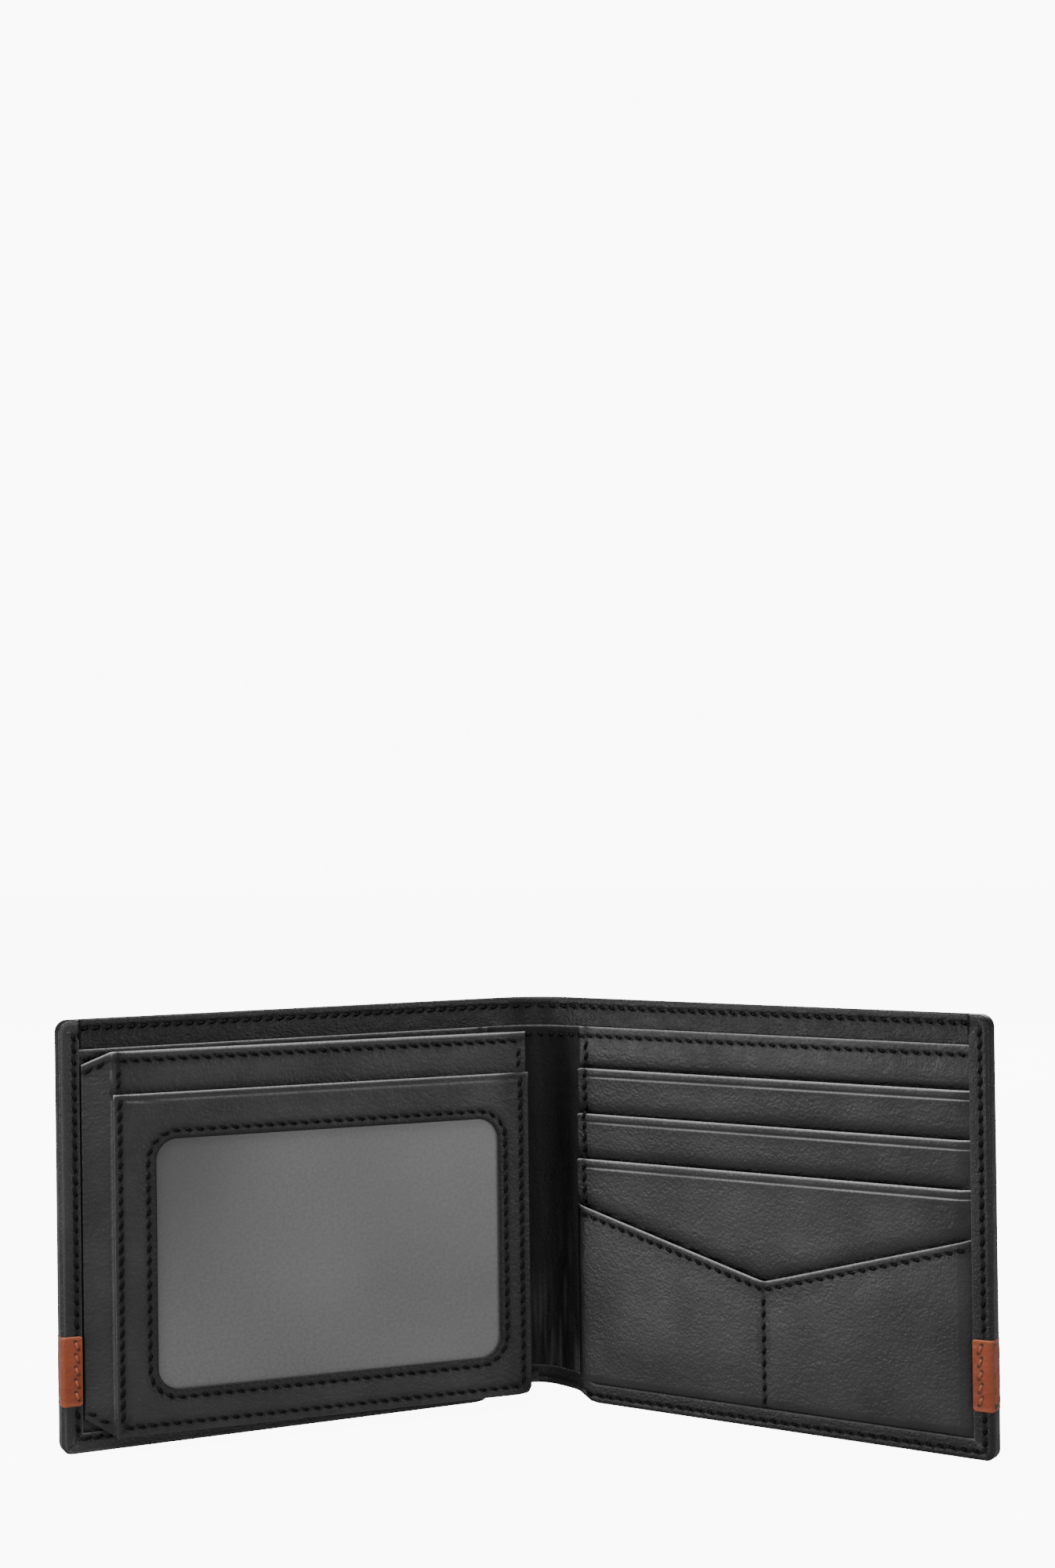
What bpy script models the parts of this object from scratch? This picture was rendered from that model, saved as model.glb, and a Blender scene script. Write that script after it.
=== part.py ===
"""Men's leather billfold with a flip-out card window, standing open on its bottom edges.

Two covers fold at a soft spine. Each cover is a sandwich of an outer leather, whose edges
are turned over the inside, a bill compartment, and card pockets. A card window leaf, the
flap, is held on the left cover by a leather gusset.

Every cover is described in its own coordinates, in metres:
  along   distance from the corner line where the two covers would meet, outwards
  depth   distance behind the face of the inner panel; towards the reader it is negative
  height  distance above the surface that the wallet stands on
"""

import math

import bmesh
import bpy

# ------------------------------------------------------------------ covers and spine
COVER_HEIGHT = 0.0890
COVER_REACH = 0.1085            # corner line to the outer edge
SWING = math.radians(28.8)      # how far each cover stands forward of lying flat open
HINGE_ALONG = 0.0080            # corner line to the line where a cover starts to bend
BEND_GAP = 0.0007               # clear space on each side of a bend line
OUTER_CORNER = 0.0030

LEATHER = 0.00085
HEM_WIDTH = 0.0041              # outer leather turned over the sides
HEM_BOTTOM = 0.0040             # and over the bottom
HEM_FRONT = -0.0013
HEM_BACK = -0.0004
SHELL_FRONT = 0.00145
SHELL_BACK = SHELL_FRONT + LEATHER

PANEL_TOP = 0.0831              # the inner panel stops below the outer leather's edge
PANEL_THICK = 0.0004
PANEL_LINING_FRONT = 0.0006
LINING_THICK = 0.00015
FACING_FRONT = 0.00095
FACING_THICK = 0.0003
FACING_BOTTOM = 0.0800
BILL_LINING_FRONT = 0.0011
TUCK = 0.0012                   # how far inner layers stop short of the outer leather

SPINE_RELIEF = 0.0020           # the spine's bottom edge is cut higher than the covers'
SPINE_HEM_FRONT = -0.00025      # the spine's hem is pared thin, so that the flap clears it
SPINE_HEM_BACK = 0.00035

# ------------------------------------------------------------------ pockets
POCKET_START = 0.0117           # inner edge of the pocket blocks
POCKET_END = COVER_REACH - HEM_WIDTH - 0.0003
LEFT_POCKET_END = 0.0982        # the left block leaves room for the flap's gusset
SLOT_COUNT = 3
SLOT_TOP = 0.0739
SLOT_PITCH = 0.0100
SLOT_LEATHER = 0.0004
SLOT_TAIL = 0.00015             # thin lining that hangs below each slot's leather
SLOT_STEP = 0.00035             # each slot sits this much in front of the one above
SLOT_LEAN = 0.0006              # a slot's top edge leans forward of its foot
SLOT_OVERLAP = 0.0024
SLOT_BACK = -0.0002
SLOT_DEPTH = 0.0500
SLOT_FLOOR = 0.0092
LAST_SLOT_SKIRT = 0.0270        # the lowest slot's leather reaches down behind the pocket
POUCH_BACK = -0.00165
POUCH_THICK = 0.0005
POUCH_SIDE_TOP = 0.0439
POUCH_DIP = 0.0128              # the V dips this far below its ends
POUCH_CORNER = 0.0050

# ------------------------------------------------------------------ edge tabs
TAB_BOTTOM = 0.0099
TAB_TOP = 0.0243
TAB_LEATHER = 0.0004
TAB_GAP = 0.00015

# ------------------------------------------------------------------ flap and gusset
ROOT_ALONG = 0.1036
ROOT_DEPTH = -0.00135
CREASE_ALONG = 0.0983
CREASE_DEPTH = -0.0032
GUSSET_THICK = 0.0007
GUSSET_ROOT_BOTTOM = 0.0070
GUSSET_ROOT_TOP = 0.0801
FLAP_TILT = math.radians(3.9)   # the flap stands off the left cover by this angle
FLAP_WIDTH = 0.0916
FLAP_BOTTOM = 0.0032
FLAP_TOP = 0.0826
FLAP_CORNER = 0.0020
FLAP_START = 0.0003
FRAME_START = 0.0009
FRAME_DROP = 0.0088             # the front frame's top edge is a slot below the flap's top
WINDOW_WIDTH = 0.0754
WINDOW_HEIGHT = 0.0520
WINDOW_LEFT = 0.0089
WINDOW_BOTTOM = FLAP_BOTTOM + 0.0089
WINDOW_CORNER = 0.0045
FILM_MARGIN = 0.0030
# flap layers as (front, back) depths about the crease, the back ones nearest the cover
BACK_FRAME_DEPTHS = (0.0000, 0.0006)
BACK_FILM_DEPTHS = (-0.00035, -0.0002)
MIDDLE_DEPTHS = (-0.00085, -0.00055)
FRONT_FILM_DEPTHS = (-0.0012, -0.00105)
FRONT_FRAME_DEPTHS = (-0.00195, -0.0014)

# ------------------------------------------------------------------ seams
THREAD_RADIUS = 0.00018
THREAD_LIFT = 0.00025           # the thread's centre above the leather it holds
HEM_SEAM = 0.0017               # seam line in from the outer leather's edge
TOP_SEAM = 0.0018
PANEL_SEAM = 0.0021
POUCH_SEAM = 0.0016
WINDOW_SEAM = 0.0017
FLAP_SEAM = 0.0020

# ------------------------------------------------------------------ placing
SPINE_RADIUS = HINGE_ALONG / math.tan(SWING)
TAB_REACH = COVER_REACH + TAB_GAP + TAB_LEATHER
NEAREST_Y = -TAB_REACH * math.sin(SWING) + (HEM_FRONT - TAB_GAP - TAB_LEATHER) * math.cos(SWING)
FARTHEST_Y = SPINE_RADIUS + SHELL_BACK - HINGE_ALONG / math.sin(SWING)
CORNER_Y = -(NEAREST_Y + FARTHEST_Y) / 2        # puts the origin under the middle of the box

ARC_STEPS = 4
SPINE_STEPS = 12
BEYOND = 0.0050                 # how far a cutter passes the faces that it opens


def clear_scene():
    for item in list(bpy.data.objects):
        bpy.data.objects.remove(item, do_unlink=True)


def collection(name):
    made = bpy.data.collections.new(name)
    bpy.context.scene.collection.children.link(made)
    return made


def material(name, colour, roughness, metallic=0.0):
    made = bpy.data.materials.new(name)
    made.use_nodes = True
    shader = made.node_tree.nodes["Principled BSDF"]
    shader.inputs["Base Color"].default_value = (*colour, 1.0)
    shader.inputs["Roughness"].default_value = roughness
    shader.inputs["Metallic"].default_value = metallic
    return made


# ------------------------------------------------------------------ outlines
def rounded(corners):
    """Outline points from (x, y, radius) corners, with an arc at each corner that has one."""
    points = []
    count = len(corners)
    for index, (x, y, radius) in enumerate(corners):
        if radius <= 0:
            points.append((x, y))
            continue
        before = corners[index - 1]
        after = corners[(index + 1) % count]
        to_before = math.atan2(before[1] - y, before[0] - x)
        to_after = math.atan2(after[1] - y, after[0] - x)
        turn = (to_after - to_before + math.pi) % (2 * math.pi) - math.pi
        half = abs(turn) / 2
        middle = to_before + turn / 2
        centre_x = x + radius / math.sin(half) * math.cos(middle)
        centre_y = y + radius / math.sin(half) * math.sin(middle)
        swing = math.copysign(math.pi - abs(turn), -turn)
        start = middle + math.pi - swing / 2
        for step in range(ARC_STEPS + 1):
            angle = start + swing * step / ARC_STEPS
            points.append((centre_x + radius * math.cos(angle), centre_y + radius * math.sin(angle)))
    return points


def rectangle(left, bottom, right, top, inner_radius=0.0, outer_radius=0.0):
    """A rectangle whose inner end is at left and whose outer end is at right."""
    return rounded([
        (left, bottom, inner_radius),
        (right, bottom, outer_radius),
        (right, top, outer_radius),
        (left, top, inner_radius),
    ])


def spine_outline(front, back, start, end):
    """Plan of a curved layer: front and back are depths, start and end angles about the arc's axis."""
    points = []
    for depth, first, last in ((front, start, end), (back, end, start)):
        radius = SPINE_RADIUS + depth
        for step in range(SPINE_STEPS + 1):
            angle = first + (last - first) * step / SPINE_STEPS
            points.append((radius * math.sin(angle), radius * math.cos(angle)))
    return points


# ------------------------------------------------------------------ solids
class Place:
    """A rigid body's own coordinates: an empty on its joint's axis, and which way along runs."""

    def __init__(self, name, parts, parent, location, turn, side, zero_along=0.0, zero_depth=0.0):
        self.empty = bpy.data.objects.new(name, None)
        self.empty.empty_display_size = 0.01
        self.empty.location = location
        self.empty.rotation_euler = (0.0, 0.0, turn)
        self.empty.parent = parent
        self.parts = parts
        self.side = side
        self.zero_along = zero_along
        self.zero_depth = zero_depth
        parts.objects.link(self.empty)

    def x(self, along):
        return self.side * (along - self.zero_along)

    def y(self, depth):
        return depth - self.zero_depth


def curve_solid(name, outlines, half_thickness, place, location, rotation, finish):
    """A closed solid from flat outlines: the first is the edge, any others are holes in it."""
    curve = bpy.data.curves.new(name, "CURVE")
    curve.dimensions = "2D"
    curve.fill_mode = "BOTH"
    curve.extrude = half_thickness
    for outline in outlines:
        spline = curve.splines.new("POLY")
        spline.points.add(len(outline) - 1)
        for point, (x, y) in zip(spline.points, outline):
            point.co = (x, y, 0.0, 1.0)
        spline.use_cyclic_u = True
    return curve_to_mesh(name, curve, place, location, rotation, finish)


def curve_to_mesh(name, curve, place, location, rotation, finish):
    guide = bpy.data.objects.new(name + "_curve", curve)
    place.parts.objects.link(guide)
    evaluated = guide.evaluated_get(bpy.context.evaluated_depsgraph_get())
    mesh = bpy.data.meshes.new_from_object(evaluated)
    mesh.name = name
    bpy.data.objects.remove(guide, do_unlink=True)
    shape = bmesh.new()
    shape.from_mesh(mesh)
    bmesh.ops.remove_doubles(shape, verts=shape.verts, dist=1e-7)
    bmesh.ops.recalc_face_normals(shape, faces=shape.faces)
    shape.to_mesh(mesh)
    shape.free()
    solid = bpy.data.objects.new(name, mesh)
    solid.location = location
    solid.rotation_euler = rotation
    solid.parent = place.empty
    solid.data.materials.append(finish)
    place.parts.objects.link(solid)
    return solid


def layer(name, place, outline, front, back, finish, holes=()):
    """A flat layer: outline and holes are (along, height), front and back are depths."""
    flat = [[(place.x(along), height) for along, height in ring] for ring in (outline, *holes)]
    location = (0.0, place.y((front + back) / 2), 0.0)
    rotation = (math.pi / 2, 0.0, 0.0)
    return curve_solid(name, flat, (back - front) / 2, place, location, rotation, finish)


def strip(name, place, section, start, end, finish):
    """A strip that runs along the cover: section is (depth, height)."""
    flat = [(place.y(depth), height) for depth, height in section]
    location = (place.x((start + end) / 2), 0.0, 0.0)
    rotation = (math.pi / 2, 0.0, math.pi / 2)
    return curve_solid(name, [flat], (end - start) / 2, place, location, rotation, finish)


def upright(name, place, plan, bottom, top, finish):
    """A solid of constant plan, (x, y), from bottom to top."""
    location = (0.0, 0.0, (bottom + top) / 2)
    return curve_solid(name, [plan], (top - bottom) / 2, place, location, (0.0, 0.0, 0.0), finish)


def seam(name, place, points, finish, closed=False):
    """Sewing thread as one thin cord through (along, depth, height) points."""
    curve = bpy.data.curves.new(name, "CURVE")
    curve.dimensions = "3D"
    curve.bevel_depth = THREAD_RADIUS
    curve.bevel_resolution = 1
    curve.use_fill_caps = not closed
    spline = curve.splines.new("POLY")
    spline.points.add(len(points) - 1)
    for point, (along, depth, height) in zip(spline.points, points):
        point.co = (place.x(along), place.y(depth), height, 1.0)
    spline.use_cyclic_u = closed
    return curve_to_mesh(name, curve, place, (0.0, 0.0, 0.0), (0.0, 0.0, 0.0), finish)


def cut(target, cutters, guides):
    """Subtract each cutter; the cutters are kept as wire guides."""
    for cutter in cutters:
        cutter.display_type = "WIRE"
        cutter.hide_render = True
        cutter.users_collection[0].objects.unlink(cutter)
        guides.objects.link(cutter)
        difference = target.modifiers.new("cut_" + cutter.name, "BOOLEAN")
        difference.operation = "DIFFERENCE"
        difference.solver = "EXACT"
        difference.object = cutter


# ------------------------------------------------------------------ covers
def cover_leather(word, place, guides, finish):
    """Outer leather of one cover, with its side and bottom edges turned over the inside."""
    start = HINGE_ALONG + BEND_GAP
    outline = rounded([
        (start, 0.0, 0.0),
        (COVER_REACH, 0.0, OUTER_CORNER),
        (COVER_REACH, COVER_HEIGHT, OUTER_CORNER),
        (start, COVER_HEIGHT, 0.0),
    ])
    shell = layer(word + "_cover_leather", place, outline, HEM_FRONT, SHELL_BACK, finish)
    high = COVER_HEIGHT + BEYOND
    low_start = start - BEYOND
    channel = rectangle(low_start, LEATHER, COVER_REACH - LEATHER, high)
    opening = rectangle(low_start, HEM_BOTTOM, COVER_REACH - HEM_WIDTH, high)
    corner = rectangle(low_start, -BEYOND, POCKET_START, HEM_BOTTOM + BEYOND)
    cutters = [
        layer(word + "_channel", place, channel, HEM_BACK, SHELL_FRONT, finish),
        layer(word + "_opening", place, opening, HEM_FRONT - BEYOND, HEM_BACK + PANEL_THICK, finish),
        layer(word + "_hem_end", place, corner, HEM_FRONT - BEYOND, HEM_BACK, finish),
    ]
    cut(shell, cutters, guides)


def cover_layers(word, place, leather, lining):
    """Flat layers of one cover, from the bill compartment's back to the inner panel."""
    start = HINGE_ALONG + BEND_GAP
    end = COVER_REACH - TUCK
    base = TUCK
    facing = rectangle(start, FACING_BOTTOM, end, COVER_HEIGHT - 0.0004)
    facing_back = FACING_FRONT + FACING_THICK
    layer(word + "_top_facing", place, facing, FACING_FRONT, facing_back, leather)
    bills = rectangle(start, base, end, FACING_BOTTOM - 0.0003, 0.0, OUTER_CORNER)
    bills_back = BILL_LINING_FRONT + LINING_THICK
    layer(word + "_bill_lining", place, bills, BILL_LINING_FRONT, bills_back, lining)
    back = rectangle(start, base, end, PANEL_TOP - 0.0005)
    back_depth = PANEL_LINING_FRONT + LINING_THICK
    layer(word + "_panel_lining", place, back, PANEL_LINING_FRONT, back_depth, lining)
    panel = rectangle(start, base, end, PANEL_TOP)
    layer(word + "_inner_panel", place, panel, 0.0, PANEL_THICK, leather)


def card_slots(word, place, end, finish):
    """Card slots: leaning leather strips, each with a thin tail behind the next ones."""
    for index in range(SLOT_COUNT):
        top = SLOT_TOP - SLOT_PITCH * index
        back = SLOT_BACK - SLOT_STEP * index
        foot = top - SLOT_PITCH - SLOT_OVERLAP
        skirt = LAST_SLOT_SKIRT if index == SLOT_COUNT - 1 else foot - 0.0001
        floor = max(top - SLOT_DEPTH, SLOT_FLOOR)
        section = [
            (back - SLOT_LEAN, top),
            (back - SLOT_LEAN - SLOT_LEATHER, top),
            (back - SLOT_LEATHER, foot),
            (back - SLOT_LEATHER, skirt),
            (back - SLOT_TAIL, skirt),
            (back - SLOT_TAIL, floor),
            (back, floor),
            (back, foot),
        ]
        name = "{}_card_slot_{}".format(word, index + 1)
        strip(name, place, section, POCKET_START, end, finish)


def pouch(word, place, end, dip, finish):
    """Wide pocket below the card slots; its top edge dips to a V where dip is above zero."""
    bottom = HEM_BOTTOM + 0.0003
    middle = (POCKET_START + end) / 2
    corners = [
        (POCKET_START, bottom, POUCH_CORNER),
        (end, bottom, 0.0),
        (end, POUCH_SIDE_TOP, 0.0),
        (middle, POUCH_SIDE_TOP - dip, 0.0),
        (POCKET_START, POUCH_SIDE_TOP, 0.0),
    ]
    if dip <= 0:
        del corners[3]
    front = POUCH_BACK - POUCH_THICK
    layer(word + "_slide_pocket", place, rounded(corners), front, POUCH_BACK, finish)


def edge_tab(word, place, guides, finish):
    """Contrast leather tab wrapped round the cover's outer edge."""
    front = HEM_FRONT - TAB_GAP
    back = SHELL_BACK + TAB_GAP
    inner = COVER_REACH - HEM_WIDTH
    outline = rectangle(inner, TAB_BOTTOM, TAB_REACH, TAB_TOP)
    tab = layer(word + "_edge_tab", place, outline, front - TAB_LEATHER, back + TAB_LEATHER, finish)
    inside = rectangle(inner - BEYOND, TAB_BOTTOM - BEYOND, COVER_REACH + TAB_GAP, TAB_TOP + BEYOND)
    cut(tab, [layer(word + "_tab_inside", place, inside, front, back, finish)], guides)


def cover_seams(word, place, thread, tab_thread):
    """Threads that hold one cover: hem above and below the tab, the tab, top edge, panel edge."""
    side = COVER_REACH - HEM_SEAM
    hem = HEM_FRONT - THREAD_LIFT
    tab = hem - TAB_GAP - TAB_LEATHER
    upper = [(side, hem, TAB_TOP + 0.0006), (side, hem, COVER_HEIGHT - TOP_SEAM)]
    seam(word + "_hem_thread_upper", place, upper, thread)
    lower = [
        (side, hem, TAB_BOTTOM - 0.0006),
        (side, hem, HEM_SEAM + 0.0004),
        (POCKET_START + 0.0006, hem, HEM_SEAM + 0.0004),
    ]
    seam(word + "_hem_thread_lower", place, lower, thread)
    on_tab = [(side, tab, TAB_BOTTOM + 0.0006), (side, tab, TAB_TOP - 0.0006)]
    seam(word + "_tab_thread", place, on_tab, tab_thread)
    start = HINGE_ALONG + BEND_GAP
    inner = COVER_REACH - HEM_WIDTH - 0.0006
    top = [(start, FACING_FRONT - THREAD_LIFT, COVER_HEIGHT - TOP_SEAM)]
    top.append((inner, FACING_FRONT - THREAD_LIFT, COVER_HEIGHT - TOP_SEAM))
    seam(word + "_top_thread", place, top, thread)
    edge = PANEL_TOP - PANEL_SEAM
    panel = [(start, -THREAD_LIFT, edge), (inner, -THREAD_LIFT, edge)]
    seam(word + "_panel_thread", place, panel, thread)


def pouch_seams(place, thread):
    """Threads of the right cover's V pocket: along the V, and down its middle."""
    middle = (POCKET_START + POCKET_END) / 2
    depth = POUCH_BACK - POUCH_THICK - THREAD_LIFT
    low = POUCH_SIDE_TOP - POUCH_DIP - POUCH_SEAM
    sides = POUCH_SIDE_TOP - POUCH_SEAM
    inset = 0.0010
    rise = POUCH_DIP * inset / (middle - POCKET_START)
    points = [
        (POCKET_START + inset, depth, sides - rise),
        (middle, depth, low),
        (POCKET_END - inset, depth, sides - rise),
    ]
    seam("slide_pocket_v_thread", place, points, thread)
    down = [(middle, depth, low - 0.0010), (middle, depth, HEM_BOTTOM + 0.0012)]
    seam("slide_pocket_centre_thread", place, down, thread)


# ------------------------------------------------------------------ spine
def spine_parts(place, guides, leather, lining):
    """The curved layers that join the covers; place is on the arc's own axis."""
    reach = SWING - BEND_GAP / SPINE_RADIUS
    wide = reach * 1.5
    shell_plan = spine_outline(SPINE_HEM_FRONT, SHELL_BACK, -reach, reach)
    shell = upright("spine_leather", place, shell_plan, SPINE_RELIEF, COVER_HEIGHT, leather)
    high = COVER_HEIGHT + BEYOND
    channel = spine_outline(SPINE_HEM_BACK, SHELL_FRONT, -wide, wide)
    opening = spine_outline(SPINE_HEM_FRONT - BEYOND, SPINE_HEM_BACK + LINING_THICK, -wide, wide)
    cutters = [
        upright("spine_channel", place, channel, SPINE_RELIEF + LEATHER, high, leather),
        upright("spine_opening", place, opening, SPINE_RELIEF + HEM_BOTTOM, high, leather),
    ]
    cut(shell, cutters, guides)
    base = SPINE_RELIEF + TUCK
    above_hem = SPINE_RELIEF + HEM_BOTTOM + 0.0003
    layers = (
        ("spine_top_facing", FACING_FRONT, FACING_THICK, FACING_BOTTOM, COVER_HEIGHT - 0.0004, leather),
        ("spine_bill_lining", BILL_LINING_FRONT, LINING_THICK, base, FACING_BOTTOM - 0.0003, lining),
        ("spine_panel_lining", PANEL_LINING_FRONT, LINING_THICK, base, PANEL_TOP - 0.0005, lining),
        ("spine_inner_panel", 0.0, PANEL_THICK, above_hem, PANEL_TOP, leather),
    )
    for name, front, thick, bottom, top, finish in layers:
        upright(name, place, spine_outline(front, front + thick, -reach, reach), bottom, top, finish)


# ------------------------------------------------------------------ flap
def flap_window(margin):
    """Outline of the flap's window, grown by margin."""
    left = WINDOW_LEFT - margin
    bottom = WINDOW_BOTTOM - margin
    right = WINDOW_LEFT + WINDOW_WIDTH + margin
    top = WINDOW_BOTTOM + WINDOW_HEIGHT + margin
    radius = WINDOW_CORNER + min(margin, 0.0)
    return rectangle(left, bottom, right, top, radius, radius)


def flap_gusset(place, finish):
    """Leather gusset from the hem to the flap, with its top and bottom corners cut back."""
    length = math.hypot(ROOT_ALONG - CREASE_ALONG, ROOT_DEPTH - CREASE_DEPTH)
    near = BEND_GAP / 2
    far = length - BEND_GAP / 2
    outline = [
        (near, GUSSET_ROOT_BOTTOM),
        (far, FLAP_BOTTOM),
        (far, FLAP_TOP),
        (near, GUSSET_ROOT_TOP),
    ]
    layer("flap_gusset", place, outline, -GUSSET_THICK / 2, GUSSET_THICK / 2, finish)


def flap_parts(place, leather, film, lining, thread):
    """Two leather frames back to back, a film behind each window, and a sheet between them."""
    back = rectangle(FLAP_START, FLAP_BOTTOM, FLAP_WIDTH, FLAP_TOP, 0.0, FLAP_CORNER)
    window = flap_window(0.0)
    layer("flap_back_frame", place, back, *BACK_FRAME_DEPTHS, leather, [window])
    pane = flap_window(FILM_MARGIN)
    layer("flap_back_film", place, pane, *BACK_FILM_DEPTHS, film)
    inset = 0.0004
    sheet = rectangle(FRAME_START, FLAP_BOTTOM + inset, FLAP_WIDTH - inset, FLAP_TOP - inset)
    layer("flap_middle_sheet", place, sheet, *MIDDLE_DEPTHS, lining)
    layer("flap_front_film", place, pane, *FRONT_FILM_DEPTHS, film)
    front_top = FLAP_TOP - FRAME_DROP
    front = rounded([
        (FRAME_START, FLAP_BOTTOM, 0.0),
        (FLAP_WIDTH, FLAP_BOTTOM, FLAP_CORNER),
        (FLAP_WIDTH, front_top, 0.0),
        (FRAME_START, front_top, 0.0),
    ])
    layer("flap_front_frame", place, front, *FRONT_FRAME_DEPTHS, leather, [window])

    lift = FRONT_FRAME_DEPTHS[0] - THREAD_LIFT
    ring = [(x, lift, height) for x, height in flap_window(WINDOW_SEAM)]
    seam("flap_window_thread", place, ring, thread, closed=True)
    edge = [
        (FRAME_START + FLAP_SEAM, lift, front_top - 0.0006),
        (FRAME_START + FLAP_SEAM, lift, FLAP_BOTTOM + FLAP_SEAM),
        (FLAP_WIDTH - FLAP_SEAM, lift, FLAP_BOTTOM + FLAP_SEAM),
        (FLAP_WIDTH - FLAP_SEAM, lift, front_top - 0.0006),
    ]
    seam("flap_edge_thread", place, edge, thread)
    lift = BACK_FRAME_DEPTHS[1] + THREAD_LIFT
    ring = [(x, lift, height) for x, height in flap_window(WINDOW_SEAM)]
    seam("flap_back_window_thread", place, ring, thread, closed=True)


# ------------------------------------------------------------------ assembly
def main():
    clear_scene()
    parts = collection("billfold_wallet")
    guides = collection("cutters")
    leather = material("black_leather", (0.012, 0.012, 0.013), 0.38)
    lining = material("black_lining", (0.010, 0.010, 0.011), 0.80)
    tan = material("tan_leather", (0.24, 0.060, 0.030), 0.45)
    film = material("frosted_film", (0.13, 0.13, 0.13), 0.35)
    thread = material("black_thread", (0.010, 0.010, 0.010), 0.60)
    tab_thread = material("brown_thread", (0.13, 0.034, 0.018), 0.60)

    arc_centre = (0.0, CORNER_Y - HINGE_ALONG / math.sin(SWING), 0.0)
    spine = Place("spine_frame", parts, None, arc_centre, 0.0, 1)
    spine_parts(spine, guides, leather, lining)

    covers = {}
    for word, side in (("left", -1), ("right", 1)):
        hinge_x = side * HINGE_ALONG * math.cos(SWING)
        hinge_y = CORNER_Y - HINGE_ALONG * math.sin(SWING)
        hinge = (hinge_x, hinge_y, 0.0)
        place = Place(word + "_cover_frame", parts, None, hinge, -side * SWING, side, HINGE_ALONG)
        cover_leather(word, place, guides, leather)
        cover_layers(word, place, leather, lining)
        edge_tab(word, place, guides, tan)
        cover_seams(word, place, thread, tab_thread)
        covers[word] = place

    card_slots("right", covers["right"], POCKET_END, leather)
    pouch("right", covers["right"], POCKET_END, POUCH_DIP, leather)
    pouch_seams(covers["right"], thread)
    card_slots("left", covers["left"], LEFT_POCKET_END, leather)
    pouch("left", covers["left"], LEFT_POCKET_END, 0.0, leather)

    left = covers["left"]
    rise = math.atan2(ROOT_DEPTH - CREASE_DEPTH, ROOT_ALONG - CREASE_ALONG)
    root = (left.x(ROOT_ALONG), left.y(ROOT_DEPTH), 0.0)
    gusset = Place("gusset_frame", parts, left.empty, root, -rise, 1)
    flap_gusset(gusset, leather)
    reach = math.hypot(ROOT_ALONG - CREASE_ALONG, ROOT_DEPTH - CREASE_DEPTH)
    crease = (gusset.x(reach), 0.0, 0.0)
    flap = Place("flap_frame", parts, gusset.empty, crease, rise - FLAP_TILT, 1)
    flap_parts(flap, leather, film, lining, thread)
    bpy.context.view_layer.update()


main()
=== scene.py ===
"""Looks of the leather billfold with a flip-out card window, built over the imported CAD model.

Lengths are millimetres until a mesh is made. A point on the wallet is given by
  along   distance from the corner line where the covers would meet, outwards round the spine
  depth   distance behind the face of the inner panel; towards the reader it is negative
  height  distance above the floor
A "place" is a function that turns arrays of those three numbers into world points.
"""

import math
import random

import bmesh
import bpy
import numpy as np
from mathutils import Matrix, Vector, noise


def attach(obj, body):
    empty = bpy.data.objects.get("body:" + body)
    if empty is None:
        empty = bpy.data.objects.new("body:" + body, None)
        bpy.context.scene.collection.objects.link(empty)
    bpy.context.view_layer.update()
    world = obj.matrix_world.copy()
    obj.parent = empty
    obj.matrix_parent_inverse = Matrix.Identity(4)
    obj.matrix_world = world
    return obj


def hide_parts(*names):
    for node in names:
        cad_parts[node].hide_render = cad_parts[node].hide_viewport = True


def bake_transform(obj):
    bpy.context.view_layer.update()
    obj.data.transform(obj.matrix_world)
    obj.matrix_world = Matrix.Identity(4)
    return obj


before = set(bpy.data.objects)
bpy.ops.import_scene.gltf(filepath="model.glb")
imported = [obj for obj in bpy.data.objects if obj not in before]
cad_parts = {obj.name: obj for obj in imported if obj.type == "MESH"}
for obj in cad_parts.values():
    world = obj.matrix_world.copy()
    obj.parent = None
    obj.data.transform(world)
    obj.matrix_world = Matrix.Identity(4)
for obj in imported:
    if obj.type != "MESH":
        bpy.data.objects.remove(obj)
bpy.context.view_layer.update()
random.seed(11)

MM = 0.001

# ------------------------------------------------------------------ sizes, from the CAD model
# A FRONT or BACK is a depth, a TOP or BOTTOM is a height, and a START or END is a distance along.
HEIGHT = 89.0
REACH = 108.5                   # along, to a cover's outer edge
SWING = math.radians(28.8)      # each cover's turn from lying flat
HINGE = 8.0                     # along, to where the spine meets a cover
CORNER_Y = 26.955               # world Y of the line where the covers would meet
SPINE_RADIUS = HINGE / math.tan(SWING)
SPINE_Y = CORNER_Y - HINGE / math.sin(SWING)
SPINE_MIDDLE = HINGE - SPINE_RADIUS * SWING

HEM_SIDE = 4.1                  # width of the turned leather at the outer edge
HEM_FOOT = 4.0                  # and at the foot
HEM_FRONT = -1.3
UNDER_HEM = -0.72               # depth of what is tucked under the hem
SHELL_BACK = 2.3
EDGE_INSET = 2.2                # the flat skin ends this far inside the outline
EDGE_SWELL = 0.3                # and the rounded edge stands this far outside it
SKIN_FOOT = EDGE_INSET
SKIN_TOP = HEIGHT - EDGE_INSET
SKIN_SIDE = REACH - EDGE_INSET
FACING_FRONT = 0.95
FACING_BOTTOM = 80.0
PANEL_TOP = 83.1
SPINE_ARCH = 2.9                # the foot of the spine is cut up this high

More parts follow.
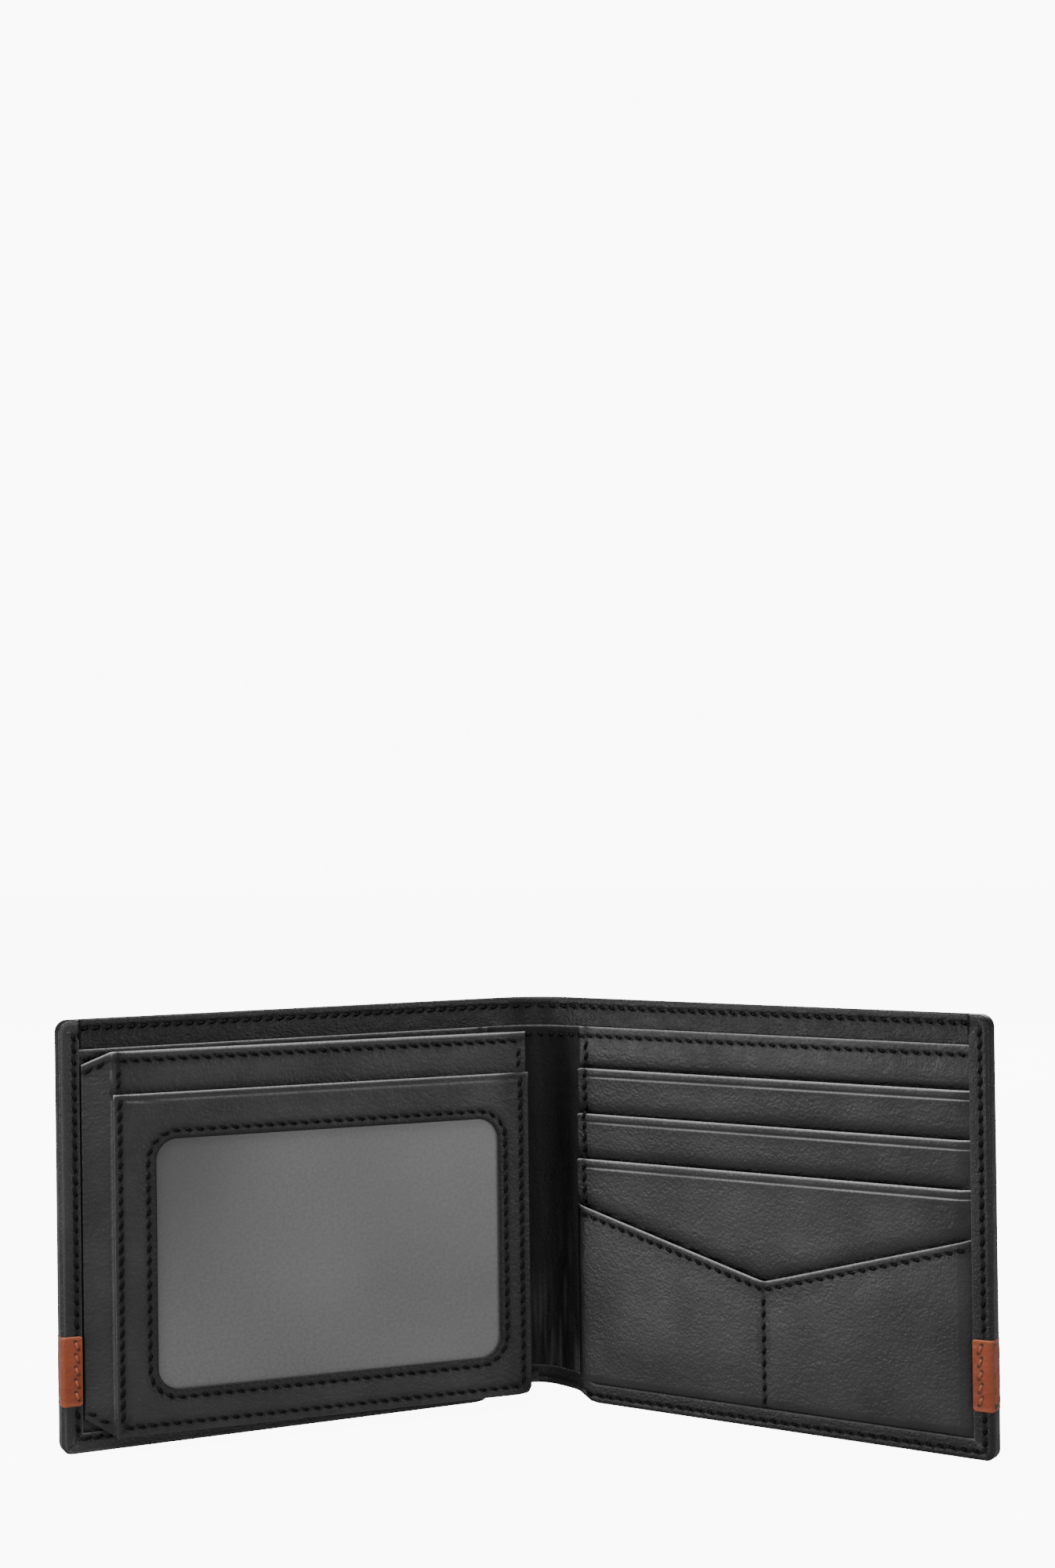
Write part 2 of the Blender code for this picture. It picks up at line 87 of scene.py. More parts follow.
POCKET_START = 11.7
STITCH_START = POCKET_START + 1.9
POCKET_END = 104.1
LEFT_POCKET_END = 98.2
POCKET_MIDDLE = (POCKET_START + POCKET_END) / 2
PANEL_STEP = -0.35              # the panel stands forward by this behind the pockets
SLOT_TOPS = (73.9, 63.9, 53.9)
SLOT_FRONTS = (-0.6, -0.95, -1.3)
SLOT_REACH = 14.0               # height of a slot's leather, whose foot is behind the next pocket
LOWEST_SLOT_FOOT = 27.2
POUCH_SIDE = 43.9               # height of the wide pocket's edge at its ends
POUCH_DIP = 12.8                # depth of its V
POUCH_FRONT = -2.15

TAB_BOTTOM = 9.9
TAB_TOP = 24.3
TAB_LIFT = 0.35                 # the tab's leather stands this far off the cover

ROOT = (103.6, -1.35)           # along and depth of the gusset's hinge on the left cover
CREASE = (98.3, -3.2)           # and of the flap's hinge on the gusset
FLAP_TILT = math.radians(3.9)   # the flap leans away from the cover towards the spine
FLAP_WIDTH = 91.6
FLAP_BOTTOM = 3.2
FLAP_TOP = 82.6
FLAP_CORNER = 2.0
FRAME_TOP = FLAP_TOP - 8.8
WINDOW_LEFT = 8.9
WINDOW_BOTTOM = FLAP_BOTTOM + 8.9
WINDOW_WIDTH = 75.4
WINDOW_HEIGHT = 52.0
WINDOW_CORNER = 4.5
WINDOW = (WINDOW_LEFT, WINDOW_BOTTOM, WINDOW_LEFT + WINDOW_WIDTH, WINDOW_BOTTOM + WINDOW_HEIGHT)
# Centres of the window's round corners, anticlockwise from its lower left.
WINDOW_CENTRES = np.array([
    (WINDOW[0] + WINDOW_CORNER, WINDOW[1] + WINDOW_CORNER),
    (WINDOW[2] - WINDOW_CORNER, WINDOW[1] + WINDOW_CORNER),
    (WINDOW[2] - WINDOW_CORNER, WINDOW[3] - WINDOW_CORNER),
    (WINDOW[0] + WINDOW_CORNER, WINDOW[3] - WINDOW_CORNER),
])
LEAF_FRONT = -0.85
FRAME_FRONT = -1.95
FRAME_BACK = 0.05
FRAME_THICK = 0.55
FILM_DEPTHS = {"front": -1.2, "back": -0.35}
FILM_THICK = 0.15
GUSSET_TOP = 80.0
GUSSET_BOTTOM = 7.0

# Distances of the rows of stitches from the edges that they follow.
TOP_SEAM = 1.75
PANEL_SEAM = 2.1
HEM_SEAMS = {-1: 3.0, 1: 1.7}
POUCH_SEAM = 1.76
POUCH_CREASE = 1.6              # a pressed line, not a seam
WINDOW_SEAM = 1.7
FLAP_SEAM = 1.9
FLAP_CREASE_SEAM = 1.4
TAB_SEAMS = {-1: 2.8, 1: 2.3}
SEAM_LINES = np.array([-0.8, -0.4, 0.0, 0.4, 0.8])   # extra grid lines on both sides of a seam

STITCH_PITCH = 2.5
STITCH_LENGTH = 1.62
STITCH_SLANT = math.radians(20)
THREAD_RADIUS = 0.37
HOLE_LENGTH = 0.4
HOLE_WIDTH = 0.34
HOLE_TURN = math.radians(35)
HOLE_SIDES = 8
THREAD_SIDES = 7
# Share of half a stitch's length, share of the thread's radius, and lift of each ring of a stitch.
THREAD_RINGS = (
    (-1.0, 0.45, -0.34),
    (-0.8, 0.9, -0.06),
    (-0.35, 1.0, 0.14),
    (0.35, 1.0, 0.14),
    (0.8, 0.9, -0.06),
    (1.0, 0.45, -0.34),
)

# Distances from an edge at which a grid has lines, so that the edge can be rounded over.
EDGE_STOPS = (0.0, 0.03, 0.1, 0.2, 0.34, 0.6, 1.1)
# Where the back of a sheet and the outer leather lie in the chart that the patterns are read from.
BACK_CHART = 140.0
SKIN_CHART = 20.0

# ------------------------------------------------------------------ sizes of the studio
CAMERA_PLACE = (0.03704, -0.50278, 0.13330)
CAMERA_YAW = math.radians(-4.106)
CAMERA_PITCH = math.radians(0.424)
CAMERA_ROLL = math.radians(-0.742)
CAMERA_LENS = 54.0
# Name, place, target, width and height, and power of each light.
SOFTBOXES = (
    ("left softbox", (-0.62, -0.42, 0.06), (0.02, 0.0, 0.04), (0.34, 0.18), 2.2),
    ("right softbox", (0.62, -0.48, 0.14), (-0.04, 0.0, 0.05), (0.34, 0.30), 1.5),
    ("high left softbox", (-0.32, -0.34, 0.55), (-0.24, -0.24, 0.0), (0.3, 0.3), 2.2),
    ("front softbox", (-0.05, -1.1, 0.25), (0.0, 0.0, 0.05), (0.3, 0.3), 2.0),
    ("top softbox", (0.0, -0.12, 0.8), (0.0, 0.0, 0.0), (0.7, 0.3), 5.5),
    ("back softbox", (0.1, 0.8, 0.35), (0.0, 0.0, 0.05), (0.8, 0.5), 4.0),
)


# ------------------------------------------------------------------ places
def cover(side, bent=True):
    """The place of a cover; where bent, it goes on round the spine inside the hinge line."""
    def place(along, depth, height):
        along, depth, height = np.broadcast_arrays(along, depth, height)
        angle = np.full(along.shape, SWING)
        past = along - HINGE
        if bent:
            angle = np.minimum((along - SPINE_MIDDLE) / SPINE_RADIUS, SWING)
            past = np.maximum(past, 0.0)
        across = (SPINE_RADIUS + depth) * np.sin(angle) + past * math.cos(SWING)
        away = SPINE_Y + (SPINE_RADIUS + depth) * np.cos(angle) - past * math.sin(SWING)
        return np.stack([side * across, away, height], axis=-1)
    return place


def on_flap(across, depth, height):
    """Across runs from the crease towards the spine, depth from the flap's back film."""
    across, depth = np.broadcast_arrays(across, depth)
    along = CREASE[0] - across * math.cos(FLAP_TILT) - depth * math.sin(FLAP_TILT)
    behind = CREASE[1] - across * math.sin(FLAP_TILT) + depth * math.cos(FLAP_TILT)
    return LEFT_FLAT(along, behind, height)


def along_path(place, points, radius):
    """A place whose along runs on a plan path of (along, depth) points, with rounded corners."""
    track = rounded_path(points, radius)
    steps = np.linalg.norm(np.diff(track, axis=0), axis=1)
    travelled = np.concatenate([[0.0], np.cumsum(steps)])
    heading = np.gradient(track, travelled, axis=0)
    heading /= np.linalg.norm(heading, axis=1)[:, None]

    def on_path(run, depth, height):
        run, depth = np.broadcast_arrays(run, depth)
        inside = np.clip(run, 0.0, travelled[-1])
        base = [np.interp(inside, travelled, track[:, axis]) for axis in (0, 1)]
        way = [np.interp(inside, travelled, heading[:, axis]) for axis in (0, 1)]
        along = base[0] - depth * way[1] + (run - inside) * way[0]
        behind = base[1] + depth * way[0] + (run - inside) * way[1]
        return place(along, behind, height)
    on_path.length = travelled[-1]
    return on_path


def rounded_path(points, radius):
    """The points of an open path, with each corner replaced by an arc-like curve."""
    points = [np.array(point, float) for point in points]
    made = [points[0]]
    for before, corner, after in zip(points, points[1:], points[2:]):
        first = corner + (before - corner) / np.linalg.norm(before - corner) * radius
        last = corner + (after - corner) / np.linalg.norm(after - corner) * radius
        for share in np.linspace(0.0, 1.0, 9):
            made.append((1 - share) ** 2 * first + 2 * share * (1 - share) * corner + share ** 2 * last)
    made.append(points[-1])
    return np.array(made)


LEFT = cover(-1)
RIGHT = cover(1)
LEFT_FLAT = cover(-1, bent=False)
SIDES = (("left", -1, LEFT), ("right", 1, RIGHT))


# ------------------------------------------------------------------ numbers
def smooth(start, end, value):
    """0 before start, 1 after end, and a smooth rise between them."""
    share = np.clip((np.asarray(value, float) - start) / (end - start), 0.0, 1.0)
    return share * share * (3 - 2 * share)


def bump(centre, width, value):
    """A smooth hump 1 high at the centre."""
    return np.exp(-((np.asarray(value, float) - centre) / width) ** 2)


def ripple(first, second, size, seed=0.0):
    """Soft random relief between about -1 and 1, with features of the size given."""
    first, second = np.broadcast_arrays(first, second)
    flat = [
        noise.noise(Vector((one / size, two / size, seed)))
        for one, two in zip(first.ravel(), second.ravel())
    ]
    return np.array(flat).reshape(first.shape)


def corner_cut(run, start, end, radius):
    """How far a straight edge draws back near its two ends so that the corners are round."""
    first, last = (radius, radius) if np.isscalar(radius) else radius
    cut = np.zeros(np.shape(run))
    for gap, size in ((run - start, first), (end - run, last)):
        if size > 0:
            inside = np.clip(size - gap, 0.0, size)
            cut = cut + size - np.sqrt(np.maximum(size * size - inside * inside, 0.0))
    return cut


def stops(start, end, step, fine):
    """Grid lines from start to end, dense near both ends where an edge is rounded over."""
    fine = [gap for gap in fine if gap < (end - start) / 2]
    count = max(2, int(round((end - start - 2 * fine[-1]) / step)) + 1)
    middle = np.linspace(start + fine[-1], end - fine[-1], count)
    near = [start + gap for gap in fine[:-1]]
    far = [end - gap for gap in fine[-2::-1]]
    return np.concatenate([near, middle, far])


# ------------------------------------------------------------------ materials
def node(tree, kind, inputs, **settings):
    """A new node; each input is another node's output or a value."""
    made = tree.nodes.new(kind)
    for key, value in settings.items():
        setattr(made, key, value)
    for key, value in inputs.items():
        if isinstance(value, bpy.types.NodeSocket):
            tree.links.new(value, made.inputs[key])
        else:
            made.inputs[key].default_value = value
    return made


def blank(name, roughness, colour=None, specular=0.5):
    """A new material, its node tree and its shader."""
    made = bpy.data.materials.new(name)
    made.use_nodes = True
    shader = made.node_tree.nodes["Principled BSDF"]
    shader.inputs["Roughness"].default_value = roughness
    shader.inputs["Specular IOR Level"].default_value = specular
    if colour:
        shader.inputs["Base Color"].default_value = (*colour, 1.0)
    return made, made.node_tree, shader


def attribute(tree, name, output):
    """A value that the mesh holds at each of its points."""
    return node(tree, "ShaderNodeAttribute", {}, attribute_name=name).outputs[output]


def stretched(tree, point, scale):
    """The point scaled differently along each axis, which draws a pattern out."""
    mapping = node(tree, "ShaderNodeMapping", {"Vector": point, "Scale": scale})
    return mapping.outputs["Vector"]


def clouds(tree, point, scale, detail=4.0, roughness=0.55):
    """Soft noise, finer where the scale is greater."""
    inputs = {"Vector": point, "Scale": scale, "Detail": detail, "Roughness": roughness}
    return node(tree, "ShaderNodeTexNoise", inputs).outputs["Fac"]


def remap(tree, value, low, high, to_low, to_high):
    """The value moved from one range to another and held inside it."""
    inputs = {"Value": value, "From Min": low, "From Max": high, "To Min": to_low, "To Max": to_high}
    return node(tree, "ShaderNodeMapRange", inputs, clamp=True).outputs["Result"]


def combine(tree, kind, first, second):
    """Two values added, multiplied or otherwise joined by a kind of Math node."""
    return node(tree, "ShaderNodeMath", {0: first, 1: second}, operation=kind).outputs["Value"]


def blended(tree, share, first, second):
    """A colour between two, each of them a node's output or red, green and blue."""
    first, second = (
        colour if isinstance(colour, bpy.types.NodeSocket) else (*colour, 1.0)
        for colour in (first, second)
    )
    inputs = {"Factor": share, 6: first, 7: second}
    return node(tree, "ShaderNodeMix", inputs, data_type="RGBA").outputs[2]


def raised(tree, height, strength, distance, below=None):
    """A normal for relief whose full depth is distance, laid over the relief below."""
    inputs = {"Height": height, "Strength": strength, "Distance": distance * MM}
    if below:
        inputs["Normal"] = below
    return node(tree, "ShaderNodeBump", inputs).outputs["Normal"]


def leather(name, dark, light, rubbed_and_highlight, roughness, specular, pore=0.55, depth=0.05):
    """Grained leather; a per-point value runs from -1, painted shade in seams, folds and under edges, to
    1, where rubbed wear and painted highlights make it lighter.
    """
    made, tree, shader = blank(name, roughness, specular=specular)
    point = attribute(tree, "surface", "Vector")
    # The per-point value carries rubbed wear together with painted highlights and painted shade.
    wear_and_light_marks = attribute(tree, "wear_and_painted_light", "Fac")
    wear_and_painted_light = remap(tree, wear_and_light_marks, 0.0, 1.0, 0.0, 1.0)
    painted_shade = remap(tree, wear_and_light_marks, -1.0, 0.0, 1.0, 0.0)
    patches = remap(tree, clouds(tree, point, 0.07, 5.0), 0.35, 0.68, 0.0, 1.0)
    tone = blended(tree, patches, dark, light)
    streaks = clouds(tree, stretched(tree, point, (0.16, 1.3, 1.0)), 1.0, 3.0)
    streaks = remap(tree, streaks, 0.5, 0.8, 0.0, 0.35)
    tone = blended(tree, streaks, tone, light)
    broken = remap(tree, clouds(tree, point, 1.6, 3.0), 0.3, 0.7, 0.45, 1.0)
    # Rubbed wear and painted highlight: lighter towards the third colour where the value is above 0.
    tone = blended(tree, combine(tree, "MULTIPLY", wear_and_painted_light, broken), tone, rubbed_and_highlight)
    # Painted shade: nearly black where the value is below 0.
    tone = blended(tree, painted_shade, tone, tuple(channel * 0.04 for channel in dark))
    tree.links.new(tone, shader.inputs["Base Color"])

    smear = clouds(tree, point, 0.25, 5.0)
    finish = remap(tree, smear, 0.3, 0.7, roughness - 0.06, roughness + 0.09)
    tree.links.new(finish, shader.inputs["Roughness"])

    inputs = {"Vector": point, "Scale": 1.0 / pore}
    cells = node(tree, "ShaderNodeTexVoronoi", inputs, feature="SMOOTH_F1")
    grain = remap(tree, cells.outputs["Distance"], 0.1, 0.75, 1.0, 0.0)
    broad = clouds(tree, point, 0.9, 4.0)
    hair = clouds(tree, point, 7.0, 2.0)
    normal = raised(tree, broad, 0.5, depth * 2.5)
    normal = raised(tree, grain, 0.55, depth, normal)
    normal = raised(tree, hair, 0.4, depth * 0.35, normal)
    tree.links.new(normal, shader.inputs["Normal"])
    return made


def woven(name, dark, light, pitch):
    """Lining cloth with a plain weave."""
    made, tree, shader = blank(name, 0.8)
    point = attribute(tree, "surface", "Vector")
    waves = []
    for axis in ("X", "Y"):
        inputs = {"Vector": point, "Scale": 0.32 / pitch, "Distortion": 0.6, "Detail": 1.0}
        waves.append(node(tree, "ShaderNodeTexWave", inputs, bands_direction=axis).outputs["Fac"])
    weave = combine(tree, "MULTIPLY", waves[0], waves[1])
    tree.links.new(blended(tree, weave, dark, light), shader.inputs["Base Color"])
    tree.links.new(raised(tree, weave, 0.6, 0.06), shader.inputs["Normal"])
    return made


def frosted(name, dark, light):
    """Frosted plastic over a grey sheet, with faint scuff marks in its roughness; a per-point value
    below 0 darkens it as painted shade, and one above 0 lightens it.
    """
    made, tree, shader = blank(name, 0.42)
    point = attribute(tree, "surface", "Vector")
    rim = attribute(tree, "wear_and_painted_light", "Fac")
    haze = remap(tree, clouds(tree, point, 0.012, 2.0), 0.3, 0.6, 0.0, 0.7)
    specks = remap(tree, clouds(tree, point, 1.4, 4.0, 0.7), 0.35, 0.65, 0.0, 0.45)
    tone = blended(tree, combine(tree, "ADD", haze, specks), dark, light)
    # Painted shade where the per-point value is below 0.
    shaded = remap(tree, rim, -1.0, 0.0, 1.0, 0.0)
    tone = blended(tree, shaded, tone, tuple(channel * 0.5 for channel in dark))
    lighter = tuple(channel * 1.35 for channel in light)
    rim = remap(tree, rim, 0.0, 1.0, 0.0, 1.0)
    tree.links.new(blended(tree, rim, tone, lighter), shader.inputs["Base Color"])
    scratches = clouds(tree, stretched(tree, point, (0.3, 3.0, 1.0)), 1.5, 6.0, 0.7)
    tree.links.new(remap(tree, scratches, 0.4, 0.75, 0.38, 0.52), shader.inputs["Roughness"])
    frost = clouds(tree, point, 9.0, 2.0)
    swell = clouds(tree, point, 0.05, 2.0)
    normal = raised(tree, swell, 0.5, 0.5)
    tree.links.new(raised(tree, frost, 0.35, 0.02, normal), shader.inputs["Normal"])
    return made


def waxed(name, dark, light, specular=0.5):
    """Waxed thread with a twist."""
    made, tree, shader = blank(name, 0.42, specular=specular)
    point = attribute(tree, "surface", "Vector")
    inputs = {"Vector": point, "Scale": 1.6, "Distortion": 1.0}
    twist = node(tree, "ShaderNodeTexWave", inputs, bands_direction="DIAGONAL").outputs["Fac"]
    tree.links.new(blended(tree, twist, dark, light), shader.inputs["Base Color"])
    tree.links.new(raised(tree, twist, 0.6, 0.04), shader.inputs["Normal"])
    return made


# Each leather's third colour is the rubbed colour, which also paints the highlights.
BLACK = leather(
    "black leather", (0.019, 0.019, 0.0192), (0.034, 0.034, 0.0345), (0.42, 0.422, 0.426),
    roughness=0.36, specular=0.26, depth=0.085,
)
# A darker, duller copy of the black leather: painted shade in the fold at the spine.
FOLD_SHADE_LEATHER = leather(
    "black leather with painted fold shade", (0.002, 0.002, 0.002), (0.005, 0.005, 0.005), (0.2, 0.2, 0.2),
    roughness=0.5, specular=0.25,
)
TAN = leather(
    "tan leather", (0.145, 0.025, 0.009), (0.265, 0.056, 0.02), (0.50, 0.17, 0.075),
    roughness=0.42, specular=0.3, pore=0.5, depth=0.06,
)
LINING = woven("black lining", (0.003, 0.003, 0.003), (0.011, 0.011, 0.012), 0.35)
FILM = frosted("frosted film", (0.083, 0.083, 0.084), (0.143, 0.143, 0.144))
THREAD = waxed("black thread", (0.0008, 0.0008, 0.0008), (0.003, 0.003, 0.003), specular=0.1)
BROWN_THREAD = waxed("brown thread", (0.16, 0.034, 0.013), (0.34, 0.085, 0.035))
# Dark discs sunk into the leather at each stitch end: painted shade in the needle holes.
NEEDLE_HOLE_SHADE = blank("needle hole", 0.9, (0.001, 0.001, 0.001))[0]
BROWN_HOLE_SHADE = blank("needle hole in tan", 0.7, (0.05, 0.011, 0.005))[0]


# ------------------------------------------------------------------ meshes
def make(name, points, faces, materials, surface, wear_and_painted_light, kinds=None):
    """A smooth-shaded mesh from world points in millimetres."""
    mesh = bpy.data.meshes.new(name)
    mesh.from_pydata((np.asarray(points) * MM).tolist(), [], faces)
    shell = bmesh.new()
    shell.from_mesh(mesh)
    bmesh.ops.recalc_face_normals(shell, faces=shell.faces)
    shell.to_mesh(mesh)
    shell.free()
    for finish in materials:
        mesh.materials.append(finish)
    if kinds is not None:
        mesh.polygons.foreach_set("material_index", kinds)
    mesh.polygons.foreach_set("use_smooth", [True] * len(mesh.polygons))
    stored = mesh.attributes.new("surface", "FLOAT_VECTOR", "POINT")
    stored.data.foreach_set("vector", np.asarray(surface, np.float32).ravel())
    # The per-point value: rubbed wear, painted highlights, and painted shade below 0.
    stored = mesh.attributes.new("wear_and_painted_light", "FLOAT", "POINT")
    stored.data.foreach_set("value", np.clip(np.asarray(wear_and_painted_light, np.float32), -1.0, 1.0).ravel())
    mesh.update()
    made = bpy.data.objects.new(name, mesh)
    bpy.context.scene.collection.objects.link(made)
    return made


def grid_faces(index):
    """Quads between the rows and columns of an index grid, leaving out collapsed ones."""
    faces = []
    for first, second in zip(index, index[1:]):
        for ring in zip(first, first[1:], second[1:], second):
            ring = [int(one) for position, one in enumerate(ring) if one != ring[position - 1]]
            if len(ring) >= 3:
                faces.append(ring)
    return faces


def rounding(gap, radius):
    """How far a face draws back at a gap from the edge of a sheet with rounded borders."""
    inside = np.clip(radius - gap, 0.0, radius)
    return radius - np.sqrt(np.maximum(radius * radius - inside * inside, 0.0))


def read(value, *where):
    """The value at the points given, where it may be a number or a function of them."""
    return value(*where) if callable(value) else np.full(np.shape(where[0]), float(value))


def sheet_of(name, place, finish, runs, heights, front, thick, gap, wear_and_painted_light, open_start=False):
    """A closed sheet over a grid; gap is each grid point's distance from the sheet's border."""
    draw = rounding(gap, thick / 2)
    inner = np.ones(runs.shape, bool)
    inner[0, :] = inner[-1, :] = inner[:, -1] = False
    inner[:, 0] = open_start
    inner[0, 0] = inner[-1, 0] = False
    front_index = np.arange(runs.size).reshape(runs.shape)
    back_index = front_index.copy()
    back_index[inner] = runs.size + np.arange(inner.sum())
    face = place(runs, front + draw, heights).reshape(-1, 3)
    rear = place(runs, front + thick - draw, heights)[inner]
    points = np.concatenate([face, rear])
    faces = grid_faces(front_index) + grid_faces(back_index)
    chart = np.stack([runs, heights, np.zeros(runs.shape)], axis=-1)
    rear_chart = chart[inner] + np.array([BACK_CHART, 0.0, 3.0])
    surface = np.concatenate([chart.reshape(-1, 3), rear_chart])
    shade = np.concatenate([wear_and_painted_light.ravel(), wear_and_painted_light[inner] * 0.3])
    return make(name, points, faces, [finish], surface, shade)


def curtain(name, place, finish, span, bottom, top, front, thick, step=1.4, run_lines=(), top_lines=(),
            open_start=False, wear_and_painted_light=0.0, rub_and_highlight=0.8, painted_border_shade=0.0):
    """A sheet between a bottom and a top edge, each a number or a function of the run along it.

    front and the per-point wear and painted light may be functions of (run, height, distance below
    the top edge), and thick one of (run, distance below the top edge). run_lines and top_lines are
    more grid lines, the second by their distance below the top edge. One argument lightens the edges,
    most of all the top one, as rubbed wear and painted highlight; another darkens near the borders as
    painted shade.
    """
    fine = EDGE_STOPS
    runs = stops(span[0], span[1], step, fine)
    if open_start:
        runs = np.concatenate([[span[0]], runs[runs > span[0] + fine[-1] * 0.5]])
    runs = np.unique(np.round(np.concatenate([runs, run_lines]), 4))
    low, high = read(bottom, runs), read(top, runs)
    upper = sorted(set(fine) | set(top_lines))
    upper = [gap for gap in upper if gap < (high - low).min() * 0.6]
    count = max(3, int((high - low).max() / step))
    shares = np.linspace(0.0, 1.0, count)[1:-1, None]
    middle = low + fine[-1] + shares * (high - upper[-1] - low - fine[-1])
    heights = np.concatenate([
        np.array([low + gap for gap in fine]),
        middle,
        np.array([high - gap for gap in reversed(upper)]),
    ])
    grid = np.broadcast_to(runs, heights.shape)
    gaps = [heights - low, high - heights, span[1] - grid]
    if not open_start:
        gaps.append(grid - span[0])
    gap = np.maximum(np.minimum.reduce(gaps), 0.0)
    below_top = high - heights
    deep = read(front, grid, heights, below_top)
    # Lighter edges, most of all the top one: rubbed wear and a painted highlight.
    shade = rub_and_highlight * (bump(0.0, 0.3, below_top) + 0.25 * bump(0.0, 0.25, gap))
    border = np.minimum.reduce([grid - span[0], span[1] - grid, heights - low])
    # Painted shade near the borders, then the piece's own wear and painted light.
    shade = shade - painted_border_shade * np.exp(-np.maximum(border, 0.0) / 3.5) + read(wear_and_painted_light, grid, heights, below_top)
    body = read(thick, grid, below_top)
    return sheet_of(name, place, finish, grid, heights, deep, body, gap, shade, open_start)


def window_edge(outer):
    """Points round the window and the way out from each; one way leads to each outer corner."""
    base, way = [], []
    corners = [(0, 1), (2, 1), (2, 3), (0, 3)]
    for index, centre in enumerate(WINDOW_CENTRES):
        start = (index - 2) * math.pi / 2
        across, up = (outer[side] for side in corners[index])
        to_corner = (math.atan2(up - centre[1], across - centre[0]) - start) % (2 * math.pi)
        for turn in sorted([*np.linspace(0.0, math.pi / 2, 17), to_corner]):
            direction = np.array([math.cos(start + turn), math.sin(start + turn)])
            base.append(centre + WINDOW_CORNER * direction)
            way.append(direction)
        last = base[-1]
        target = WINDOW_CENTRES[(index + 1) % 4] + WINDOW_CORNER * direction
        count = int(np.linalg.norm(target - last) / 1.6)
        for share in np.linspace(0.0, 1.0, count + 1)[1:-1]:
            base.append(last + share * (target - last))
            way.append(direction)
    return np.array(base), np.array(way)


def frame_rim(base, way, outer):
    """Where the ways out from the window meet the frame's border."""
    low, high = np.array(outer[:2]), np.array(outer[2:])
    with np.errstate(divide="ignore"):
        to_high = np.where(way > 1e-9, (high - base) / way, np.inf)
        to_low = np.where(way < -1e-9, (low - base) / way, np.inf)
    reach = np.minimum(to_high, to_low).min(axis=1)
    return round_off(base + way * reach[:, None], outer, FLAP_CORNER)


def frame_rub_and_painted_light(outer, across, heights, from_window, outside):
    """Lighter on the border and top edge, as rubbed wear and painted highlight; painted shade in the
    seams, at the window, just inside the border and near the spine.
    """
    shade = 0.3 * bump(0.0, 0.3, outside) + 0.5 * bump(outer[3], 0.3, heights)
    # Painted shade along the window's stitches and at the window's edge.
    shade = shade + painted_seam_shade(from_window - WINDOW_SEAM) - 0.8 * smooth(1.5, 0.2, from_window)
    shade = shade + painted_seam_shade(across - FLAP_CREASE_SEAM) + painted_seam_shade(outer[2] - FLAP_SEAM - across)
    # Painted shade along the foot's stitches and just inside the border.
    shade = shade + painted_seam_shade(heights - outer[1] - FLAP_SEAM) - 0.2 * np.exp(-outside / 1.2)
    # Painted shade towards the spine end.
    return shade - 0.45 * smooth(WINDOW[2], WINDOW[2] + 3.0, across)


def ring_frame(name, outer, front, thick, wear_and_painted_light):
    """A sheet of the flap round its window; outer is (left, bottom, right, top)."""
    base, way = window_edge(outer)
    rim = frame_rim(base, way, outer)
    span = np.linalg.norm(rim - base, axis=1)
    heading = (rim - base) / span[:, None]
    near = [*EDGE_STOPS[:-1], 0.9, 1.3, 1.7, 2.1]
    far = [2.6, 2.0, 1.5, *reversed(EDGE_STOPS)]
    rows = [np.full(len(span), gap) for gap in near]
    rows += [near[-1] + share * (span - near[-1] - far[0]) for share in (0.25, 0.5, 0.75)]
    rows += [span - gap for gap in far]
    rows = np.array(rows)
    across = base[:, 0] + rows * heading[:, 0]
    heights = base[:, 1] + rows * heading[:, 1]
    outside = np.minimum.reduce([
        across - outer[0], outer[2] - across, heights - outer[1], outer[3] - heights, span - rows,
    ])
    draw = rounding(np.maximum(np.minimum(rows, outside), 0.0), thick / 2)
    deep = front(across, heights, rows)
    front_index = np.arange(rows.size).reshape(rows.shape)
    inner = np.ones(rows.shape, bool)
    inner[0, :] = inner[-1, :] = False
    back_index = front_index.copy()
    back_index[inner] = rows.size + np.arange(inner.sum())
    points = on_flap(across, deep + draw, heights).reshape(-1, 3)
    rear = on_flap(across, deep + thick - draw, heights)[inner]
    loop = [*range(rows.shape[1]), 0]
    faces = grid_faces(front_index[:, loop]) + grid_faces(back_index[:, loop])
    chart = np.stack([across, heights, np.zeros(rows.shape)], axis=-1)
    surface = np.concatenate([chart.reshape(-1, 3), chart[inner] + np.array([BACK_CHART, 0.0, 3.0])])
    shade = frame_rub_and_painted_light(outer, across, heights, rows, outside) + wear_and_painted_light(heights)
    shade = np.concatenate([shade.ravel(), shade[inner] * 0.3])
    return make(name, np.concatenate([points, rear]), faces, [BLACK], surface, shade)


def round_off(points, box, radius):
    """Points on a rectangle's border, with those near its lower right corner moved onto an arc."""
    moved = points.copy()
    centre = np.array([box[2] - radius, box[1] + radius])
    past = (moved[:, 0] > centre[0]) & (moved[:, 1] < centre[1])
    away = moved[past] - centre
    moved[past] = centre + radius * away / np.linalg.norm(away, axis=1)[:, None]
    return moved


# ------------------------------------------------------------------ outer leather
def spine_lift(along):
    """How far the bottom edge is cut up at the spine."""
    return 2.0 * (1 - smooth(10.8, 15.5, along)) + (SPINE_ARCH - 2.0) * (1 - smooth(1.0, 11.5, along))


def spine_creases(side, along, height):
    """Upright wrinkles in the soft spine, strongest near its foot."""
    x = side * (along - SPINE_MIDDLE)
    amount = (1 - smooth(8.0, 12.5, along)) * (0.25 + 0.75 * (1 - smooth(8.0, 45.0, height)))
    return amount * (0.2 * ripple(x, height * 0.09, 1.9, 4.0) + 0.07 * ripple(x, height * 0.2, 0.8, 9.0))


